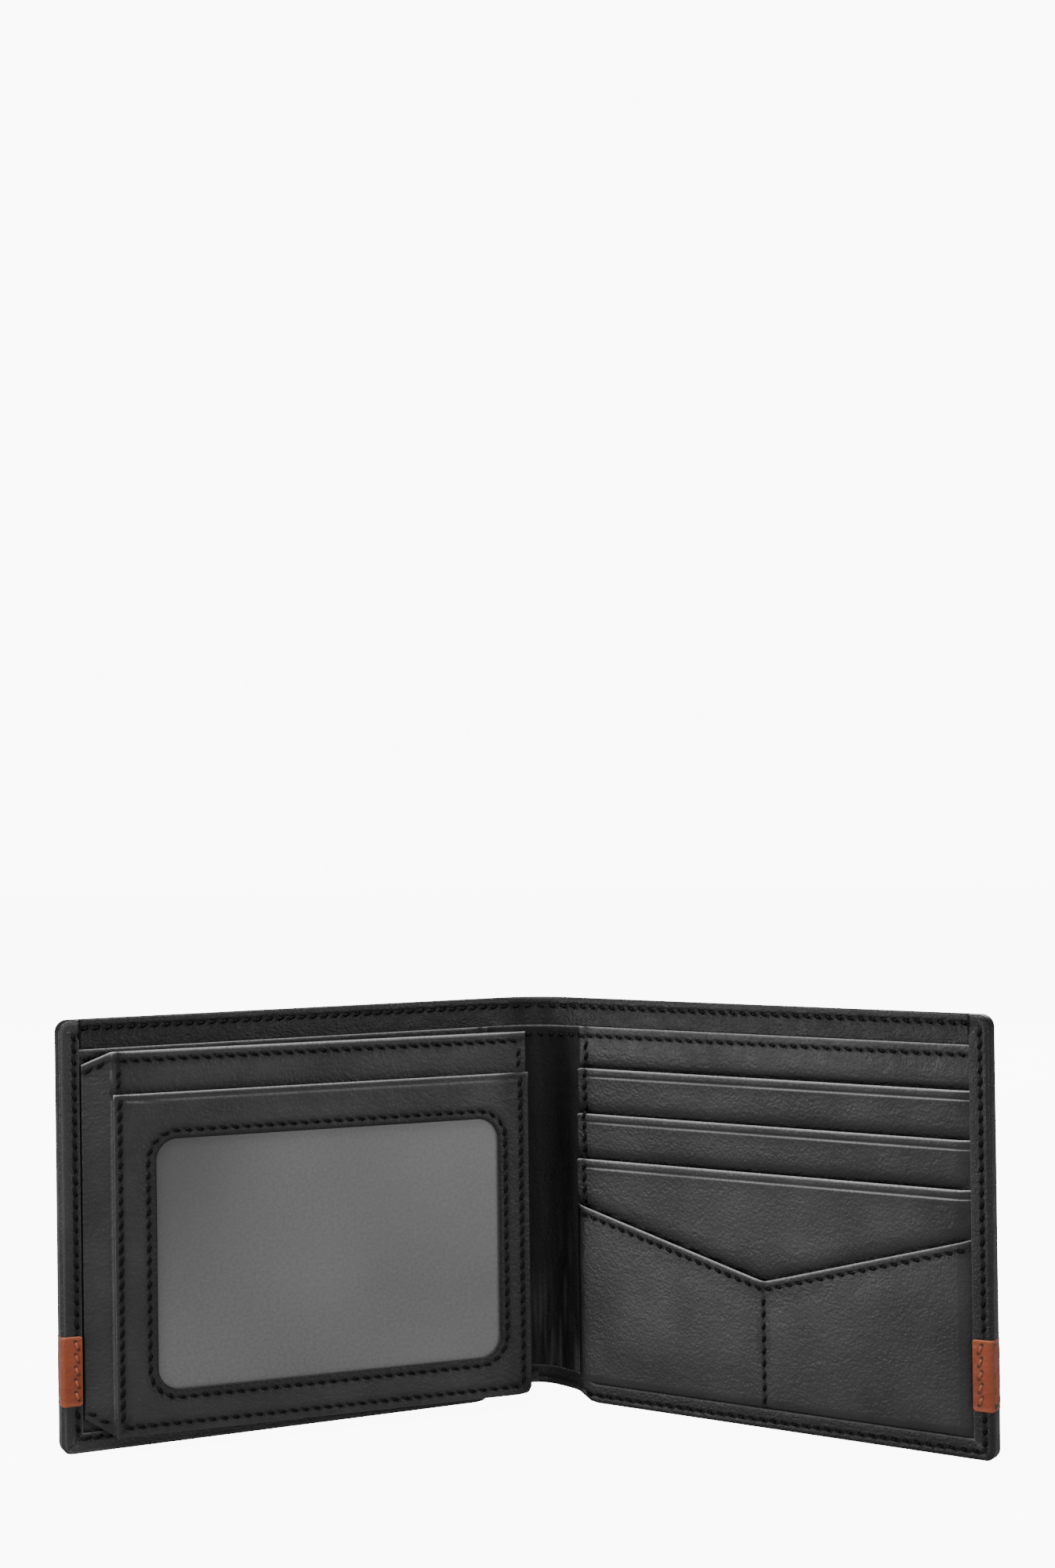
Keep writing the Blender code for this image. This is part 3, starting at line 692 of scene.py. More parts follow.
def back_relief(side, along, height):
    """Slight hollows and swellings of the outside, and the spine's wrinkles."""
    soft = 0.16 * ripple(side * along, height, 26.0, 2.0) + 0.05 * ripple(side * along, height, 6.0, 3.0)
    return soft * smooth(14.0, 24.0, along) + 0.5 * spine_creases(side, along, height)


def edge_profile(front, inner, thick, seam_gap):
    """Section of the leather folded round an edge, as (outward offset, depth) points."""
    lip = EDGE_INSET + EDGE_SWELL
    radius = 0.62
    nose = min(0.8, (SHELL_BACK - front) / 2)
    points = [(share * (lip - radius), SHELL_BACK) for share in (0.35, 0.65, 0.9)]
    for turn in np.linspace(0.0, math.pi / 2, 6):
        out = lip - radius + radius * math.sin(turn)
        points.append((out, SHELL_BACK - radius + radius * math.cos(turn)))
    points.append((lip - 0.04, (SHELL_BACK - radius + front + nose) / 2 + 0.1))
    for turn in np.linspace(math.pi / 2, 0.0, 6):
        points.append((lip - nose + nose * math.sin(turn), front + nose - nose * math.cos(turn)))
    seam = lip - seam_gap
    points += [(seam + 0.45, front), (seam + 0.22, front + 0.05), (seam, front + 0.1)]
    points += [(seam - 0.22, front + 0.05), (seam - 0.45, front)]
    points += [(share * (seam - 0.45) + (1 - share) * (inner + 0.45), front) for share in (0.66, 0.33)]
    points += [(inner + 0.42, front), (inner + 0.2, front + 0.03), (inner + 0.06, front + 0.12)]
    points += [(inner, front + 0.26), (inner, front + thick)]
    return np.array(points)


def edge_stations(columns, rows):
    """Where the edge sections stand: grid row and column, outward direction, and kind of edge."""
    last_column, last_row = len(columns) - 1, len(rows) - 1
    turns = np.linspace(0.0, math.pi / 2, 9)
    made = [(0, column, 0.0, -1.0, "hem") for column in range(last_column)]
    made += [(0, last_column, math.sin(turn), -math.cos(turn), "hem") for turn in turns]
    made += [(row, last_column, 1.0, 0.0, "hem") for row in range(1, last_row)]
    made += [(last_row, last_column, math.cos(turn), math.sin(turn), "hem") for turn in turns]
    for column in range(last_column - 1, -1, -1):
        if columns[column] >= REACH - HEM_SIDE - 0.001:
            made.append((last_row, column, 0.0, 1.0, "hem"))
        if columns[column] <= REACH - HEM_SIDE + 0.001:
            made.append((last_row, column, 0.0, 1.0, "top"))
    return made


def edge_spots(offset, along, height, out, up, kind):
    """Along and height of an edge section's points, from their outward offsets."""
    if kind == "top":
        return np.full(len(offset), along), height + offset
    inward = np.minimum(offset, 0.0)
    kept_along = np.minimum(along, SKIN_SIDE + inward)
    kept_height = np.clip(height, SKIN_FOOT - inward, SKIN_TOP + inward)
    spots_along = np.where(offset < 0, kept_along, along + offset * out)
    spots_height = np.where(offset < 0, kept_height, height + offset * up)
    return spots_along, spots_height


def edge_rub_and_painted_light(side, kind, near_spine, inner, front, profile, on_face):
    """Lighter where the edge is rubbed, as rubbed wear and painted highlight, with a painted highlight
    on the hem's inner lip; painted shade in the seam and on both sides of it, on the folded side of the
    edge and on the face of the top facing.
    """
    offset, depth = profile
    seam = EDGE_INSET + EDGE_SWELL - (HEM_SEAMS[side] if kind == "hem" else TOP_SEAM)
    rubbed_and_highlight = bump(front, 0.35, depth) * bump(EDGE_INSET - 0.25, 0.4, offset)
    stitch_row_shade = 0.85 * on_face * bump(seam, 0.5, offset)
    if kind == "top":
        # Painted shade over the face of the top facing.
        return 0.4 * rubbed_and_highlight - stitch_row_shade - 0.75 * on_face
    # Painted highlight on the hem's inner lip.
    lip = bump(inner, 0.3, offset) * (1 - near_spine)
    inside = smooth(inner + 0.1, inner + 0.5, offset) * smooth(seam + 0.3, seam - 0.3, offset)
    outside = smooth(seam + 0.3, seam + 0.9, offset) * on_face if side > 0 else 0.0
    folded = smooth(EDGE_INSET - 1.0, EDGE_INSET - 0.2, offset) * (1 - on_face)
    return 0.12 * rubbed_and_highlight + 0.25 * lip - stitch_row_shade - 0.6 * inside - 0.8 * outside - 0.6 * folded


def edge_section(side, place, along, height, out, up, kind):
    """One section of the folded edge, as world points, chart points, and wear with painted light and
    shade.
    """
    near_spine = 1 - smooth(9.0, 12.5, along)
    if kind == "hem":
        front = HEM_FRONT + (-0.2 - HEM_FRONT) * near_spine
        inner = EDGE_INSET - HEM_SIDE
        profile = edge_profile(front, inner, 0.5, HEM_SEAMS[side])
    else:
        front = FACING_FRONT
        inner = EDGE_INSET - (HEIGHT - FACING_BOTTOM)
        profile = edge_profile(front, inner, 0.3, TOP_SEAM)
    offset, depth = profile.T
    steps = np.linalg.norm(np.diff(profile, axis=0), axis=1)
    spots_along, spots_height = edge_spots(offset, along, height, out, up, kind)
    on_face = smooth(0.4, 0.0, depth - front)
    on_back = smooth(SHELL_BACK - 0.9, SHELL_BACK, depth)
    mitre = bump(0.0, 0.12, math.atan2(up, out) + math.pi / 4) if up < 0 < out else 0.0
    depth = depth + on_face * 0.22 * mitre
    depth = depth + on_back * back_relief(side, np.full(len(offset), along), spots_height)
    spots_height = np.maximum(spots_height, 0.0)
    points = place(spots_along, depth, spots_height + sag(spots_along, spots_height))
    run = SKIN_CHART + np.concatenate([[0.0], np.cumsum(steps)])
    chart = np.stack([spots_along, spots_height, run], axis=-1)
    wear_and_painted_light = edge_rub_and_painted_light(side, kind, near_spine, inner, front, (offset, depth), on_face)
    return points, chart, wear_and_painted_light


def outer_leather(word, side, place):
    """Outer skin of one cover and half the spine, turned over the sides, foot and top."""
    columns = np.concatenate([
        np.arange(SPINE_MIDDLE, 14.0, 0.45),
        np.linspace(14.5, REACH - HEM_SIDE, 58),
        [105.0, SKIN_SIDE],
    ])
    rows = np.linspace(SKIN_FOOT, SKIN_TOP, 52)
    runs, heights = np.meshgrid(columns, rows)
    deep = SHELL_BACK + back_relief(side, runs, heights)
    centre = np.arange(runs.size).reshape(runs.shape)
    points = [place(runs, deep, heights + sag(runs, heights)).reshape(-1, 3)]
    chart = [np.stack([runs, heights, np.full(runs.shape, SKIN_CHART)], axis=-1).reshape(-1, 3)]
    wear_and_painted_light = [np.zeros(runs.size)]
    count = runs.size
    bands = []
    for row, column, out, up, kind in edge_stations(columns, rows):
        section = edge_section(side, place, columns[column], rows[row], out, up, kind)
        for gathered, part in zip((points, chart, wear_and_painted_light), section):
            gathered.append(part)
        size = len(section[0])
        bands.append([centre[row, column], *range(count, count + size)])
        count += size
    faces = grid_faces(centre) + grid_faces(np.array(bands))
    return make(f"{word}_outer_leather", np.concatenate(points), faces, [BLACK],
                np.concatenate(chart), np.concatenate(wear_and_painted_light))


def sag(along, height):
    """Height added so that the foot of the spine is arched."""
    return spine_lift(along) * (1 - smooth(2.0, 26.0, height))


# ------------------------------------------------------------------ transforms baked into the meshes
def bend_with_spine(piece, word, side):
    """Bakes the piece's transform into its mesh, which is built lying on its cover and round the spine;
    the two points at the hinge are worked out but not used.
    """
    place = cover(side)
    start = place(HINGE - 4.0, 0.0, 0.0) * MM
    end = place(HINGE + 3.6, 0.0, 0.0) * MM
    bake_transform(piece)


# ------------------------------------------------------------------ pockets
def block_end(side):
    """How far along a cover its pockets run."""
    return REACH - HEM_SIDE + 0.7 if side > 0 else LEFT_POCKET_END


def tucked(side, depth, along, height):
    """The depth of a pocket's leather, which dives under the hem at the side and the foot."""
    by_side = smooth(POCKET_END - 1.6, POCKET_END + 0.35, along) if side > 0 else 0.0
    by_foot = 1 - smooth(HEM_FOOT - 0.1, HEM_FOOT + 1.4, height)
    under = np.maximum(by_side, by_foot)
    return depth + under * np.maximum(UNDER_HEM - depth, 0.0)


def pouch_top(side, along):
    """Height of the wide pocket's edge; on the right it dips to a V."""
    if side < 0:
        return np.full(np.shape(along), POUCH_SIDE)
    half = POCKET_MIDDLE - POCKET_START
    away = np.sqrt((np.asarray(along, float) - POCKET_MIDDLE) ** 2 + 0.35)
    return POUCH_SIDE - POUCH_DIP * (1 - away / half)


def panel_front(side):
    """Depth of the inner panel, which steps back between the pockets and the spine."""
    def front(along, height, below):
        step = PANEL_STEP * smooth(POCKET_START - 0.25, POCKET_START + 0.3, along)
        press = 0.09 * bump(PANEL_TOP - PANEL_SEAM, 0.35, height) * (along > 9.0)
        block = smooth(POCKET_START, POCKET_START + 1.0, along)
        fallen = block * behind_edge(height - SLOT_TOPS[0])
        return step + press + fallen + spine_creases(side, along, height)
    return front


def next_top(index, side, along):
    """Height of the edge of the pocket in front of a card slot."""
    return SLOT_TOPS[index + 1] if index < 2 else pouch_top(side, along)


def behind_edge(above):
    """How far leather falls back just above the edge of the pocket in front of it."""
    return 0.5 * np.exp(-(np.maximum(above, 0.0) / 1.1) ** 1.5)


def slot_front(index, side):
    """Depth of a card slot's leather, which leans forward to its pressed edge."""
    plate = SLOT_FRONTS[index]

    def front(along, height, below):
        lean = -0.6 * np.clip(1 - below / 12.4, 0.0, 1.0)
        crease = 0.16 * bump(1.75, 0.2, below)
        crease = crease - 0.05 * bump(2.25, 0.4, below) - 0.05 * bump(0.9, 0.5, below)
        ends = smooth(POCKET_START + 0.9, POCKET_START + 2.6, along)
        slack = 0.07 * ripple(along, height * 2.0, 17.0, 5.0 + index)
        depth = plate + lean + crease * ends + slack * np.clip(1 - below / 9, 0, 1)
        depth = depth + behind_edge(height - next_top(index, side, along))
        return tucked(side, depth, along, height)
    return front


def pouch_front(side):
    """Depth of the wide pocket's leather; the right one swells on both sides of its middle seam."""
    def front(along, height, below):
        depth = POUCH_FRONT + 0.12 * bump(POUCH_CREASE, 0.3, below)
        if side > 0:
            width = POCKET_END - POCKET_START
            swell = np.abs(np.sin((along - POCKET_START) / width * 2 * math.pi))
            depth = depth - 0.3 * swell * smooth(4.0, 16.0, height) * smooth(0.5, 9.0, below)
            depth = depth + 0.12 * bump(POCKET_MIDDLE, 0.35, along) * smooth(31.0, 29.5, height)
            depth = depth + 0.5 * smooth(POCKET_START + 1.6, POCKET_START, along)
        return tucked(side, depth, along, height)
    return front


def painted_seam_shade(distance):
    """Painted shade along a row of stitches, from the distance to it."""
    return -0.6 * bump(0.0, 0.65, distance)


def painted_contact_shadow(above):
    """Painted contact shadow on leather just above the edge of the pocket in front of it."""
    return -np.exp(-(np.maximum(above, 0.0) / 1.3) ** 1.5) * (above > -0.6)


def rolled(along, below):
    """Thickness of a slot's leather, which is turned over at its top edge."""
    return 0.42 + 0.28 * smooth(3.0, 1.2, below)


def slot_rub_and_painted_light(index, side):
    """Lighter lines on a slot's edge and pressed crease, as rubbed wear and painted highlight; painted
    shade along its seam, a painted shadow above the next edge, and a painted sheen on the lowest slot.
    """
    def wear_and_light_marks(along, height, below):
        broken = 0.65 + 0.25 * smooth(40.0, 95.0, along) + 0.35 * ripple(along, height, 14.0, 8.0)
        ends = smooth(POCKET_START + 0.6, POCKET_START + 3.0, along)
        # Painted highlights, with rubbed wear, on the top edge and the pressed crease.
        lines = broken * (0.85 * bump(0.08, 0.22, below) + 0.8 * bump(2.02, 0.15, below) * ends)
        next_edge = next_top(index, side, along)
        # Painted sheen on the lowest slot's face above the wide pocket.
        painted_sheen = 0.035 * smooth(1.0, 5.0, height - next_edge) if index == 2 else 0.0
        return lines + painted_sheen + painted_contact_shadow(height - next_edge) + painted_seam_shade(along - STITCH_START)
    return wear_and_light_marks


def pouch_painted_light(side):
    """A painted sheen over the wide pocket from a few millimetres below its edge, fading out towards its
    outer end, and painted shade along its seams.
    """
    def wear_and_light_marks(along, height, below):
        painted_sheen = 0.035 * smooth(3.0, 8.0, below) * smooth(88.0, 62.0, along)
        shade = painted_sheen + painted_seam_shade(along - POCKET_START - 0.3)
        if side > 0:
            shade = shade + painted_seam_shade(below - POUCH_SEAM) + 0.8 * painted_seam_shade(along - POCKET_MIDDLE)
        return shade
    return wear_and_light_marks


def panel_painted_light(along, height, below):
    """Painted shade along the panel's stitches, painted glints on the folds by the spine, strongest near
    their foot, and a painted shadow above the first slot.
    """
    shade = painted_seam_shade(height - PANEL_TOP + PANEL_SEAM) + painted_seam_shade(along - STITCH_START)
    painted_fold_glints = np.maximum(ripple(along, height * 0.06, 0.9, 21.0), 0.0) * (along < POCKET_START - 0.5)
    shade = shade + 0.45 * painted_fold_glints * (1 - smooth(6.0, 50.0, height))
    return shade + painted_contact_shadow(height - SLOT_TOPS[0]) * (along > POCKET_START)


def cover_pockets(word, side, place):
    """The three card slots and the wide pocket below them."""
    end = block_end(side)
    crease_lines = (1.4, 1.55, 1.68, 1.8, 1.92, 2.05, 2.2, 2.4, 2.8)
    for index, slot_top in enumerate(SLOT_TOPS):
        foot = LOWEST_SLOT_FOOT if index == 2 else slot_top - SLOT_REACH

        def edge(along, slot_top=slot_top):
            return slot_top - 0.5 * corner_cut(along, POCKET_START, end + 5, 1.0)

        made = curtain(
            f"{word}_slot_leather_{index + 1}", place, BLACK, (POCKET_START, end), foot, edge,
            slot_front(index, side), rolled, 1.6, STITCH_START + SEAM_LINES, crease_lines,
            wear_and_painted_light=slot_rub_and_painted_light(index, side), rub_and_highlight=0.5, painted_border_shade=0.45,
        )
        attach(made, f"{word}_cover")
        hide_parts(f"{word}_card_slot_{index + 1}")

    def pouch_foot(along):
        return HEM_FOOT - 0.8 + corner_cut(along, POCKET_START, end + 9, 2.2)

    def pouch_edge(along):
        return pouch_top(side, along)

    seam_lines = POCKET_MIDDLE + SEAM_LINES if side > 0 else ()
    made = curtain(
        f"{word}_pouch_leather", place, BLACK, (POCKET_START, end), pouch_foot, pouch_edge,
        pouch_front(side), 0.5, 1.2, seam_lines, (1.3, 1.6, 1.75, 1.9, 2.2, 2.6),
        wear_and_painted_light=pouch_painted_light(side), rub_and_highlight=0.75, painted_border_shade=0.4,
    )
    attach(made, f"{word}_cover")
    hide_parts(f"{word}_slide_pocket")


def cover_linings(word, side, place):
    """The inner panel and the bill compartment's linings, each bending into the spine."""
    def foot(along):
        return 1.3 + spine_lift(along)

    def lining_front(along, height, below):
        return 0.6 + spine_creases(side, along, height)

    spine_lines = np.arange(SPINE_MIDDLE, 12.6, 0.4)
    step_lines = POCKET_START + np.arange(-0.3, 0.4, 0.1)
    panel_lines = np.concatenate([spine_lines, step_lines, STITCH_START + SEAM_LINES])
    seam_lines = (1.7, 1.9, 2.1, 2.3, 2.5, 2.9, 6.0, 7.5, 8.2, 8.7, 9.1)
    layers = (
        ("inner_panel", BLACK, PANEL_TOP, panel_front(side), 0.4, panel_lines, panel_painted_light),
        ("panel_lining", LINING, PANEL_TOP - 0.5, lining_front, 0.15, spine_lines, 0.0),
        ("bill_lining", LINING, FACING_BOTTOM + 2.0, 1.26, 0.14, spine_lines, 0.0),
    )
    for part, finish, high, front, thick, lines, wear_and_painted_light in layers:
        made = curtain(
            f"{word}_{part}_skin", place, finish, (SPINE_MIDDLE, REACH - 1.4), foot, high,
            front, thick, 1.8, lines, seam_lines, open_start=True, wear_and_painted_light=wear_and_painted_light, rub_and_highlight=0.5,
        )
        bend_with_spine(made, word, side)
        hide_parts(f"{word}_{part}", f"spine_{part}")
        if finish is BLACK:
            paint_fold_shade(made.data)


def paint_fold_shade(mesh):
    """Give the part of a panel's mesh between the spine and the pockets the darker fold leather, which
    paints the shade in the fold.
    """
    mesh.materials.append(FOLD_SHADE_LEATHER)
    chart = mesh.attributes["surface"].data
    for face in mesh.polygons:
        along = max(chart[index].vector[0] % BACK_CHART for index in face.vertices)
        if along < POCKET_START - 0.1:
            face.material_index = 1


# ------------------------------------------------------------------ edge tabs
def edge_tab(word, side, place):
    """Tan leather wrapped round the outer edge, its cut borders a little rounded."""
    front = HEM_FRONT - TAB_LIFT
    back = SHELL_BACK + TAB_LIFT
    outer = REACH + 0.12
    inner = REACH - HEM_SIDE + 0.1
    wrap = along_path(place, [(inner, front), (outer, front), (outer, back), (inner, back)], 0.75)
    end = wrap.length

    def low(run):
        return TAB_BOTTOM + 0.12 * ripple(run, run * 0, 2.3, 1.0) + corner_cut(run, 0.0, end, 0.7)

    def high(run):
        return TAB_TOP + 0.12 * ripple(run, run * 0, 2.6, 7.0) - corner_cut(run, 0.0, end, 0.7)

    def relief(run, height, below):
        border = 0.05 * (bump(TAB_TOP - 1.0, 0.35, height) + bump(TAB_BOTTOM + 1.0, 0.35, height))
        uneven = 0.06 * ripple(run, height, 3.0, side) + 0.03 * ripple(run, height, 1.1, 3 + side)
        return -0.2 + border + uneven

    def wear_and_light_marks(run, height, below):
        return 0.25 * bump(0.0, 0.8, below) + 0.2 * bump(TAB_BOTTOM, 0.8, height)

    made = curtain(
        f"{word}_tab_leather", wrap, TAN, (0.0, end), low, high, relief, 0.42, 0.5, (), (0.8, 1.0, 1.25),
        wear_and_painted_light=wear_and_light_marks, rub_and_highlight=0.35,
    )
    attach(made, f"{word}_cover")
    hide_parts(f"{word}_edge_tab")


# ------------------------------------------------------------------ flap
LEAF_TAIL = (ROOT[0] + 0.45, ROOT[1] + 0.25)
LEAF_REACH = FLAP_WIDTH - 0.1
LEAF_END = (
    CREASE[0] - LEAF_REACH * math.cos(FLAP_TILT),
    CREASE[1] - LEAF_REACH * math.sin(FLAP_TILT),
)
LEAF = along_path(LEFT_FLAT, [LEAF_END, CREASE, LEAF_TAIL], 1.2)
LEAF_CREASE = LEAF_REACH - 0.01
LEAF_STOPS = (LEAF_CREASE - 0.6, LEAF_CREASE + 0.2, LEAF.length)


def leaf_top(run):
    """Height of the leaf's top edge, which slopes down on the gusset."""
    return np.interp(run, LEAF_STOPS, (FLAP_TOP, FLAP_TOP - 0.1, GUSSET_TOP))


def leaf_foot(run):
    """Height of the leaf's bottom edge, which slopes up on the gusset."""
    foot = np.interp(run, LEAF_STOPS, (FLAP_BOTTOM, FLAP_BOTTOM + 0.1, GUSSET_BOTTOM))
    return foot + corner_cut(run, 0.0, LEAF.length, (FLAP_CORNER, 0.0))


def leaf_front(run, height, below):
    """Depth of the leaf, which is soft on the gusset and pressed at the crease."""
    on_gusset = smooth(LEAF_CREASE - 1.5, LEAF_CREASE + 1.0, run)
    seam = 0.1 * bump(FLAP_SEAM, 0.3, below)
    slack = 0.12 * ripple(run, height, 9.0, 12.0) * on_gusset
    return LEAF_FRONT + 0.5 * on_gusset + seam + slack + 0.1 * bump(LEAF_CREASE, 0.4, run)


def leaf_rub_and_painted_light(run, height, below):
    """Lighter at the crease and the top edge, as rubbed wear and painted highlight; painted shade along
    the stitches, and a painted shadow above the front frame.
    """
    on_gusset = run > LEAF_CREASE + 0.3
    shade = 0.2 * bump(LEAF_CREASE, 0.35, run) + 0.1 * bump(0.0, 0.5, below)
    shade = shade + painted_seam_shade(below - FLAP_SEAM)
    gusset_seam = painted_seam_shade(height - leaf_foot(run) - FLAP_SEAM)
    shade = shade + np.where(on_gusset, gusset_seam, painted_contact_shadow(height - FRAME_TOP))
    return shade + painted_seam_shade(run - FLAP_SEAM) + painted_seam_shade(LEAF_CREASE - FLAP_CREASE_SEAM - run)


def leaf_thickness(run, below):
    """The gusset's leather is the thicker."""
    return 0.45 + 0.2 * smooth(LEAF_CREASE - 1.5, LEAF_CREASE + 1.0, run)


def flap_leaf():
    """The flap's middle leather and the gusset are one piece, creased where they meet."""
    made = curtain(
        "flap_leaf", LEAF, BLACK, (0.0, LEAF.length), leaf_foot, leaf_top, leaf_front, leaf_thickness,
        1.6, LEAF_CREASE + np.arange(-2.0, 2.2, 0.2), (1.6, FLAP_SEAM, 2.2), wear_and_painted_light=leaf_rub_and_painted_light, painted_border_shade=0.3,
    )
    LEAF(LEAF_CREASE + 1.3, 0.0, 0.0) * MM
    LEAF(LEAF_CREASE - 1.3, 0.0, 0.0) * MM
    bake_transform(made)
    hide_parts("flap_gusset", "flap_middle_sheet")


def window_stitching(gap):
    """Relief of the stitched border round the window, by the distance from it."""
    return 0.1 * bump(WINDOW_SEAM, 0.3, gap) - 0.06 * bump(0.9, 0.5, gap)


def front_frame(across, height, gap):
    """Depth of the front frame, pressed along its stitches and its top crease."""
    top_crease = 0.13 * bump(FRAME_TOP - 1.3, 0.18, height)
    sides = 0.1 * bump(FLAP_CREASE_SEAM, 0.35, across) + 0.1 * bump(FLAP_WIDTH - FLAP_SEAM, 0.35, across)
    foot = 0.1 * bump(FLAP_BOTTOM + FLAP_SEAM, 0.35, height)
    slack = 0.1 * ripple(across, height, 22.0, 31.0) * smooth(0.5, 6.0, gap)
    return FRAME_FRONT + window_stitching(gap) + top_crease + sides + foot + slack


def back_frame(across, height, gap):
    """Depth of the back frame."""
    return FRAME_BACK - window_stitching(gap) - 0.05 * ripple(across, height, 20.0, 41.0)


def frame_shine(height):
    """Painted highlights: lighter lines on the front frame's top edge and its pressed crease."""
    return 0.25 * bump(FRAME_TOP, 0.35, height) + 0.3 * bump(FRAME_TOP - 1.6, 0.22, height)


def flap_frames():
    """The two leathers round the window; the front one stops below the flap's top."""
    for word, left, top, surface, wear_and_painted_light in (
        ("front", 0.1, FRAME_TOP, front_frame, frame_shine),
        ("back", 0.3, FLAP_TOP, back_frame, np.zeros_like),
    ):
        outer = (left, FLAP_BOTTOM, FLAP_WIDTH, top)
        made = ring_frame(f"flap_{word}_leather", outer, surface, FRAME_THICK, wear_and_painted_light)
        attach(made, "card_flap")
        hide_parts(f"flap_{word}_frame")


def film_shade(across, height, below):
    """Painted shade: the film is darker towards its upper left corner."""
    left = smooth(WINDOW[0] + 34.0, WINDOW[0], across)
    return -0.75 * left * smooth(WINDOW[1], WINDOW[3], height)


def flap_films():
    """The two films, which reach under the frames all round the window."""
    left, bottom, right, top = WINDOW
    under = 2.6
    for word, depth in FILM_DEPTHS.items():
        def swell(across, height, below, depth=depth):
            return depth + 0.03 * ripple(across, height, 30.0, 50.0)

        made = curtain(
            f"flap_{word}_film_sheet", on_flap, FILM, (left - under, right + under),
            bottom - under, top + under, swell, FILM_THICK, 2.2, wear_and_painted_light=film_shade, rub_and_highlight=0.0,
        )
        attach(made, "card_flap")
        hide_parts(f"flap_{word}_film")


# ------------------------------------------------------------------ stitches
def tube_faces(rings, sides):
    """Faces of a closed tube whose points run ring by ring."""
    faces = []
    for first in range(0, (rings - 1) * sides, sides):
        for corner in range(sides):
            after = (corner + 1) % sides
            faces.append((first + corner, first + after, first + sides + after, first + sides + corner))
    last = (rings - 1) * sides
    return faces + [range(sides), range(last, last + sides)]


THREAD_FACES = tube_faces(len(THREAD_RINGS), THREAD_SIDES)
HOLE_FACES = [(0, 1 + corner, 1 + (corner + 1) % HOLE_SIDES) for corner in range(HOLE_SIDES)]


class Stitching:
    """Gathers single stitches, each with a needle hole at both ends, into one mesh."""

    def __init__(self):
        self.points = []
        self.faces = []
        self.kinds = []
        self.chart = []
        self.count = 0

    def row(self, place, line, closed=False, reader=-1):
        """Stitches along a line of (along, depth, height); reader is the way the leather faces."""
        line = np.array(line, float)
        if closed:
            line = np.concatenate([line, line[:1]])
        run = np.concatenate([[0.0], np.cumsum(np.linalg.norm(np.diff(line, axis=0), axis=1))])

        def at(where):
            return np.array([np.interp(where, run, line[:, axis]) for axis in range(3)])

        number = max(1, int(round(run[-1] / STITCH_PITCH)))
        pitch = run[-1] / number
        for middle in (np.arange(number) + 0.5) * pitch:
            ahead = at(min(middle + 0.4, run[-1])) - at(max(middle - 0.4, 0.0))
            self.stitch(place, at(middle), ahead / np.linalg.norm(ahead), pitch, reader)

    def stitch(self, place, middle, ahead, pitch, reader):
        """One slanting stitch and the two holes that it goes down through."""
        out = np.array([0.0, float(reader), 0.0])
        beside = np.cross(ahead, out)
        turn = STITCH_SLANT + random.uniform(-0.05, 0.05)
        ahead = ahead * math.cos(turn) + beside * math.sin(turn)
        beside = np.cross(ahead, out)
        half = STITCH_LENGTH * pitch / STITCH_PITCH * random.uniform(0.94, 1.04) / 2
        size = THREAD_RADIUS * random.uniform(0.93, 1.07)
        points = []
        for share, scale, lift in THREAD_RINGS:
            centre = middle + ahead * share * half + out * (lift - 0.02)
            for angle in np.arange(THREAD_SIDES) * 2 * math.pi / THREAD_SIDES:
                spoke = beside * math.cos(angle) + out * math.sin(angle)
                points.append(centre + spoke * size * scale)
        self.add(place, points, THREAD_FACES, 0)
        long_way = ahead * math.cos(HOLE_TURN) + beside * math.sin(HOLE_TURN)
        short_way = beside * math.cos(HOLE_TURN) - ahead * math.sin(HOLE_TURN)
        # Each hole is a dark disc sunk at its middle: painted shade in the needle hole.
        for end in (-1, 1):
            centre = middle + ahead * end * (half + 0.06) + out * 0.13
            points = [centre - out * 0.12]
            for angle in np.arange(HOLE_SIDES) * 2 * math.pi / HOLE_SIDES:
                reach = long_way * HOLE_LENGTH * math.cos(angle)
                reach = reach + short_way * HOLE_WIDTH * math.sin(angle)
                points.append(centre + reach - out * 0.03)
            self.add(place, points, HOLE_FACES, 1)

    def add(self, place, points, faces, kind):
        """Append one piece of thread or one hole; faces index its own points."""
        points = np.array(points)
        self.faces += [[self.count + index for index in face] for face in faces]
        self.kinds += [kind] * len(faces)
        self.count += len(points)
        self.points.append(place(points[:, 0], points[:, 1], points[:, 2]))
        self.chart.append(points[:, [0, 2, 1]])

    def build(self, name, thread, hole):
        """The mesh of all the stitches so far."""
        points = np.concatenate(self.points)
        return make(name, points, self.faces, [thread, hole], np.concatenate(self.chart),
                    np.zeros(len(points)), self.kinds)


def on_block(side, along, height):
    """Depth of the frontmost leather of a cover's pockets at a point."""
    edges = [(float(pouch_top(side, along)), pouch_front(side))]
    edges += [(SLOT_TOPS[index], slot_front(index, side)) for index in (2, 1, 0)]
    edges.append((PANEL_TOP, panel_front(side)))
    top, front = next(edge for edge in edges if height < edge[0])
    return float(front(along, height, top - height))


def block_line(side, points, step=1.0):
    """A line laid on the pockets through (along, height) points."""
    made = []
    for first, last in zip(points, points[1:]):
        first, last = np.array(first), np.array(last)
        count = max(2, int(np.linalg.norm(last - first) / step))
        for share in np.linspace(0.0, 1.0, count):
            along, height = first + share * (last - first)
            made.append((along, on_block(side, along, height), height))
    return made


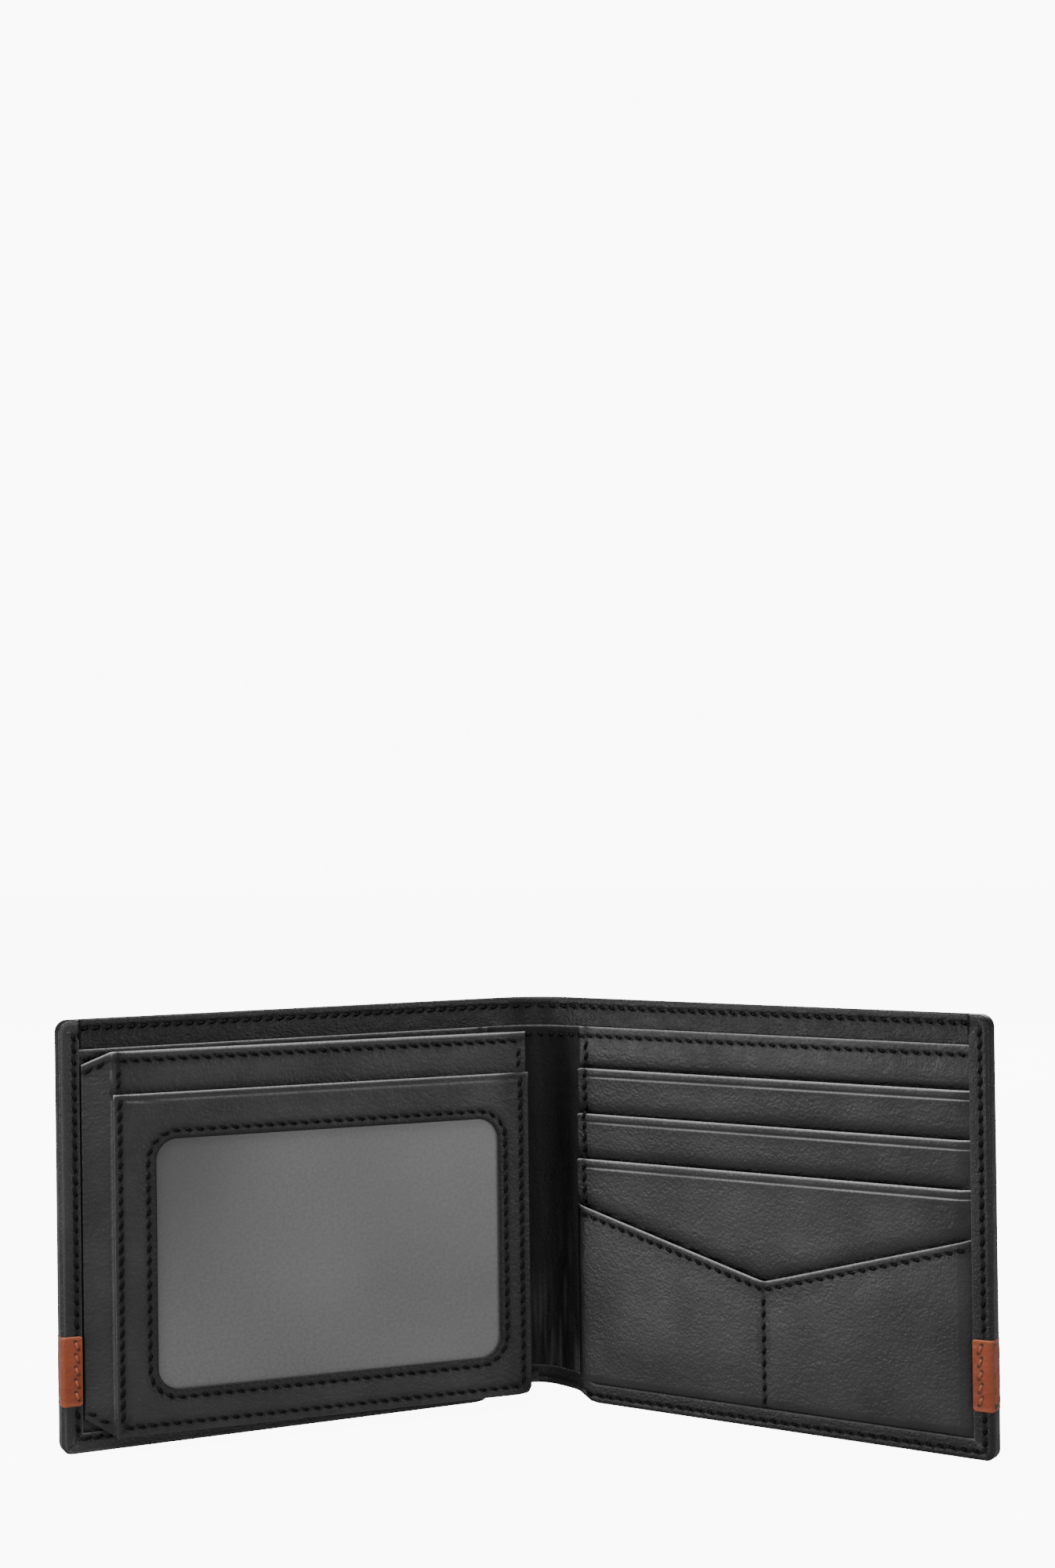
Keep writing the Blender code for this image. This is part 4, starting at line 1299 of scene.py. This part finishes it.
def hem_rows(rows, side, place):
    """Stitches of the turned edge, which miss the tab."""
    seam = HEM_SEAMS[side]
    edge = REACH - seam
    deep = HEM_FRONT + 0.1
    rows.row(place, [(edge, deep, TAB_TOP + 0.8), (edge, deep, HEIGHT - 2.2)])
    rows.row(place, [(edge, deep, seam + 0.6), (edge, deep, TAB_BOTTOM - 0.6)])
    rows.row(place, [(POCKET_START + 1.0, deep, seam), (edge - 0.8, deep, seam)])


def long_rows(rows, side, place):
    """Stitches along the top facing and the inner panel, from the middle of the spine outwards."""
    start = SPINE_MIDDLE + 0.1
    end = REACH - HEM_SIDE - 0.5
    top = HEIGHT - TOP_SEAM
    stations = [*np.arange(start, end, 2.0), end]
    rows.row(place, [(along, FACING_FRONT + 0.02, top) for along in stations])
    height = PANEL_TOP - PANEL_SEAM
    stations = np.concatenate([np.arange(start, 15.0, 0.5), np.arange(16.0, end, 4.0), [end]])
    deep = panel_front(side)(stations, np.full(len(stations), height), None)
    rows.row(place, np.stack([stations, deep, np.full(len(stations), height)], axis=-1))


def pocket_rows(rows, side, place):
    """Stitches beside the spine, and on the right along the V and down the middle below it."""
    upright = [(STITCH_START, PANEL_TOP - 3.0), (STITCH_START, POUCH_SIDE - 0.5)]
    rows.row(place, block_line(side, upright, 0.4))
    if side > 0:
        low = POUCH_SIDE - POUCH_DIP - POUCH_SEAM
        high = POUCH_SIDE - POUCH_SEAM - 0.2
        rows.row(place, block_line(side, [(POCKET_START + 0.8, high), (POCKET_MIDDLE, low)]))
        rows.row(place, block_line(side, [(POCKET_MIDDLE, low), (POCKET_END - 0.6, high)]))
        rows.row(place, block_line(side, [(POCKET_MIDDLE, low - 1.2), (POCKET_MIDDLE, HEM_FOOT + 0.9)]))


def cover_stitches(word, side, place):
    """All the stitches of one cover, and those of its tab."""
    rows = Stitching()
    hem_rows(rows, side, place)
    long_rows(rows, side, place)
    pocket_rows(rows, side, place)
    made = rows.build(f"{word}_stitches", THREAD, NEEDLE_HOLE_SHADE)
    bend_with_spine(made, word, side)
    threads = ("hem_thread_lower", "hem_thread_upper", "top_thread", "panel_thread")
    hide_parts(*[f"{word}_{thread}" for thread in threads])
    if side > 0:
        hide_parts("slide_pocket_v_thread", "slide_pocket_centre_thread")

    on_tab = Stitching()
    edge = REACH - TAB_SEAMS[side]
    deep = HEM_FRONT - TAB_LIFT - 0.18
    on_tab.row(place, [(edge, deep, TAB_BOTTOM + 0.8), (edge, deep, TAB_TOP - 0.6)])
    made = on_tab.build(f"{word}_tab_stitches", BROWN_THREAD, BROWN_HOLE_SHADE)
    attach(made, f"{word}_cover")
    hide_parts(f"{word}_tab_thread")


def window_line(depth):
    """The round-cornered line of stitches round the flap's window, from its right side upwards."""
    radius = WINDOW_CORNER + WINDOW_SEAM
    line = []
    for quarter in range(4):
        across, height = WINDOW_CENTRES[(quarter + 2) % 4]
        for angle in np.linspace(quarter, quarter + 1, 9) * math.pi / 2:
            line.append((across + radius * math.cos(angle), depth, height + radius * math.sin(angle)))
    return line


def front_rows(left, right, foot):
    """Stitches in front of the flap: the frame's, and those of the leaf above the frame."""
    rows = Stitching()
    deep = FRAME_FRONT + 0.07
    rows.row(on_flap, window_line(deep), closed=True)
    rows.row(on_flap, [(left, deep, FRAME_TOP - 1.0), (left, deep, foot + 0.8)])
    rows.row(on_flap, [(left, deep, foot), (right - 0.8, deep, foot)])
    rows.row(on_flap, [(right, deep, foot), (right, deep, FRAME_TOP - 1.0)])
    deep = LEAF_FRONT + 0.05
    top = FLAP_TOP - FLAP_SEAM
    rows.row(on_flap, [(1.0, deep, top), (right, deep, top)])
    rows.row(on_flap, [(left, deep, FLAP_TOP - 3.6), (left, deep, FRAME_TOP + 0.8)])
    rows.row(on_flap, [(right, deep, FLAP_TOP - 3.6), (right, deep, FRAME_TOP + 0.8)])
    return rows


def back_rows(left, right, foot):
    """Stitches behind the flap, sunk so that they clear the left cover's pockets."""
    rows = Stitching()
    deep = FRAME_BACK + FRAME_THICK - 0.15
    top = FLAP_TOP - FLAP_SEAM
    rows.row(on_flap, window_line(deep), closed=True, reader=1)
    border = [(left, deep, foot), (right, deep, foot), (right, deep, top), (left, deep, top)]
    rows.row(on_flap, border, closed=True, reader=1)
    return rows


def gusset_rows():
    """Stitches along the slanting top and foot of the gusset."""
    rows = Stitching()
    stations = np.linspace(LEAF_CREASE + 0.9, LEAF.length - 0.4, 12)
    for edge, gap in ((leaf_top, -FLAP_SEAM), (leaf_foot, FLAP_SEAM)):
        rows.row(LEAF, [(run, -0.33, float(edge(run)) + gap) for run in stations])
    return rows


def flap_stitches():
    """The stitches before and behind the flap, and the gusset's."""
    border = (FLAP_CREASE_SEAM, FLAP_WIDTH - FLAP_SEAM, FLAP_BOTTOM + FLAP_SEAM)
    made = front_rows(*border).build("flap_stitches", THREAD, NEEDLE_HOLE_SHADE)
    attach(made, "card_flap")
    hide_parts("flap_window_thread", "flap_edge_thread")

    made = back_rows(*border).build("flap_back_stitches", THREAD, NEEDLE_HOLE_SHADE)
    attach(made, "card_flap")
    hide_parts("flap_back_window_thread")

    made = gusset_rows().build("gusset_stitches", THREAD, NEEDLE_HOLE_SHADE)
    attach(made, "flap_gusset")


# ------------------------------------------------------------------ camera, lights and floor
def camera():
    """The camera, by its place and its turns from a level look along +Y."""
    made = bpy.data.objects.new("camera", bpy.data.cameras.new("camera"))
    bpy.context.scene.collection.objects.link(made)
    made.data.sensor_fit = "VERTICAL"
    made.data.sensor_height = 36.0
    made.data.lens = CAMERA_LENS
    made.data.clip_start = 0.01
    level = math.cos(CAMERA_PITCH)
    ahead = Vector((math.sin(CAMERA_YAW) * level, math.cos(CAMERA_YAW) * level, math.sin(CAMERA_PITCH)))
    right = Vector((math.cos(CAMERA_YAW), -math.sin(CAMERA_YAW), 0.0))
    up = right.cross(ahead)
    rolled_right = right * math.cos(CAMERA_ROLL) + up * math.sin(CAMERA_ROLL)
    rolled_up = up * math.cos(CAMERA_ROLL) - right * math.sin(CAMERA_ROLL)
    turned = Matrix((rolled_right, rolled_up, -ahead)).transposed().to_4x4()
    made.matrix_world = Matrix.Translation(CAMERA_PLACE) @ turned
    bpy.context.scene.camera = made


def softbox(name, place, target, size, power):
    """A rectangular light at a place, turned to its target."""
    data = bpy.data.lights.new(name, "AREA")
    data.shape = "RECTANGLE"
    data.size, data.size_y = size
    data.energy = power
    made = bpy.data.objects.new(name, data)
    made.location = place
    made.rotation_euler = (Vector(target) - Vector(place)).to_track_quat("-Z", "Y").to_euler()
    bpy.context.scene.collection.objects.link(made)


def seen(tree, dark, bright):
    """A strength that is bright where it is seen straight on, and dark for the light it gives."""
    straight = node(tree, "ShaderNodeLightPath", {}).outputs["Is Camera Ray"]
    return remap(tree, straight, 0.0, 1.0, dark, bright)


def studio():
    """A white world and floor, lit by softboxes on both sides, in front, above and behind."""
    world = bpy.data.worlds.new("studio")
    world.use_nodes = True
    sky = world.node_tree.nodes["Background"]
    sky.inputs["Color"].default_value = (1.0, 1.0, 1.0, 1.0)
    world.node_tree.links.new(seen(world.node_tree, 0.14, 10.0), sky.inputs["Strength"])
    bpy.context.scene.world = world
    bpy.ops.mesh.primitive_plane_add(size=6.0, location=(0.0, 0.0, -0.0002))
    floor = bpy.context.object
    floor.name = "floor"
    paper, tree, shader = blank("paper", 0.9, (0.5, 0.5, 0.5))
    shader.inputs["Emission Color"].default_value = (1.0, 1.0, 1.0, 1.0)
    tree.links.new(seen(tree, 0.0, 9.6), shader.inputs["Emission Strength"])
    floor.data.materials.append(paper)
    for light in SOFTBOXES:
        softbox(*light)


def main():
    """Build both covers, the flap and the studio."""
    for word, side, place in SIDES:
        skin = outer_leather(word, side, place)
        bend_with_spine(skin, word, side)
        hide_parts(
            f"{word}_cover_leather", f"{word}_top_facing", "spine_leather", "spine_top_facing",
        )
        cover_linings(word, side, place)
        cover_pockets(word, side, place)
        edge_tab(word, side, place)
        cover_stitches(word, side, place)
    flap_leaf()
    flap_frames()
    flap_films()
    flap_stitches()
    camera()
    studio()


main()
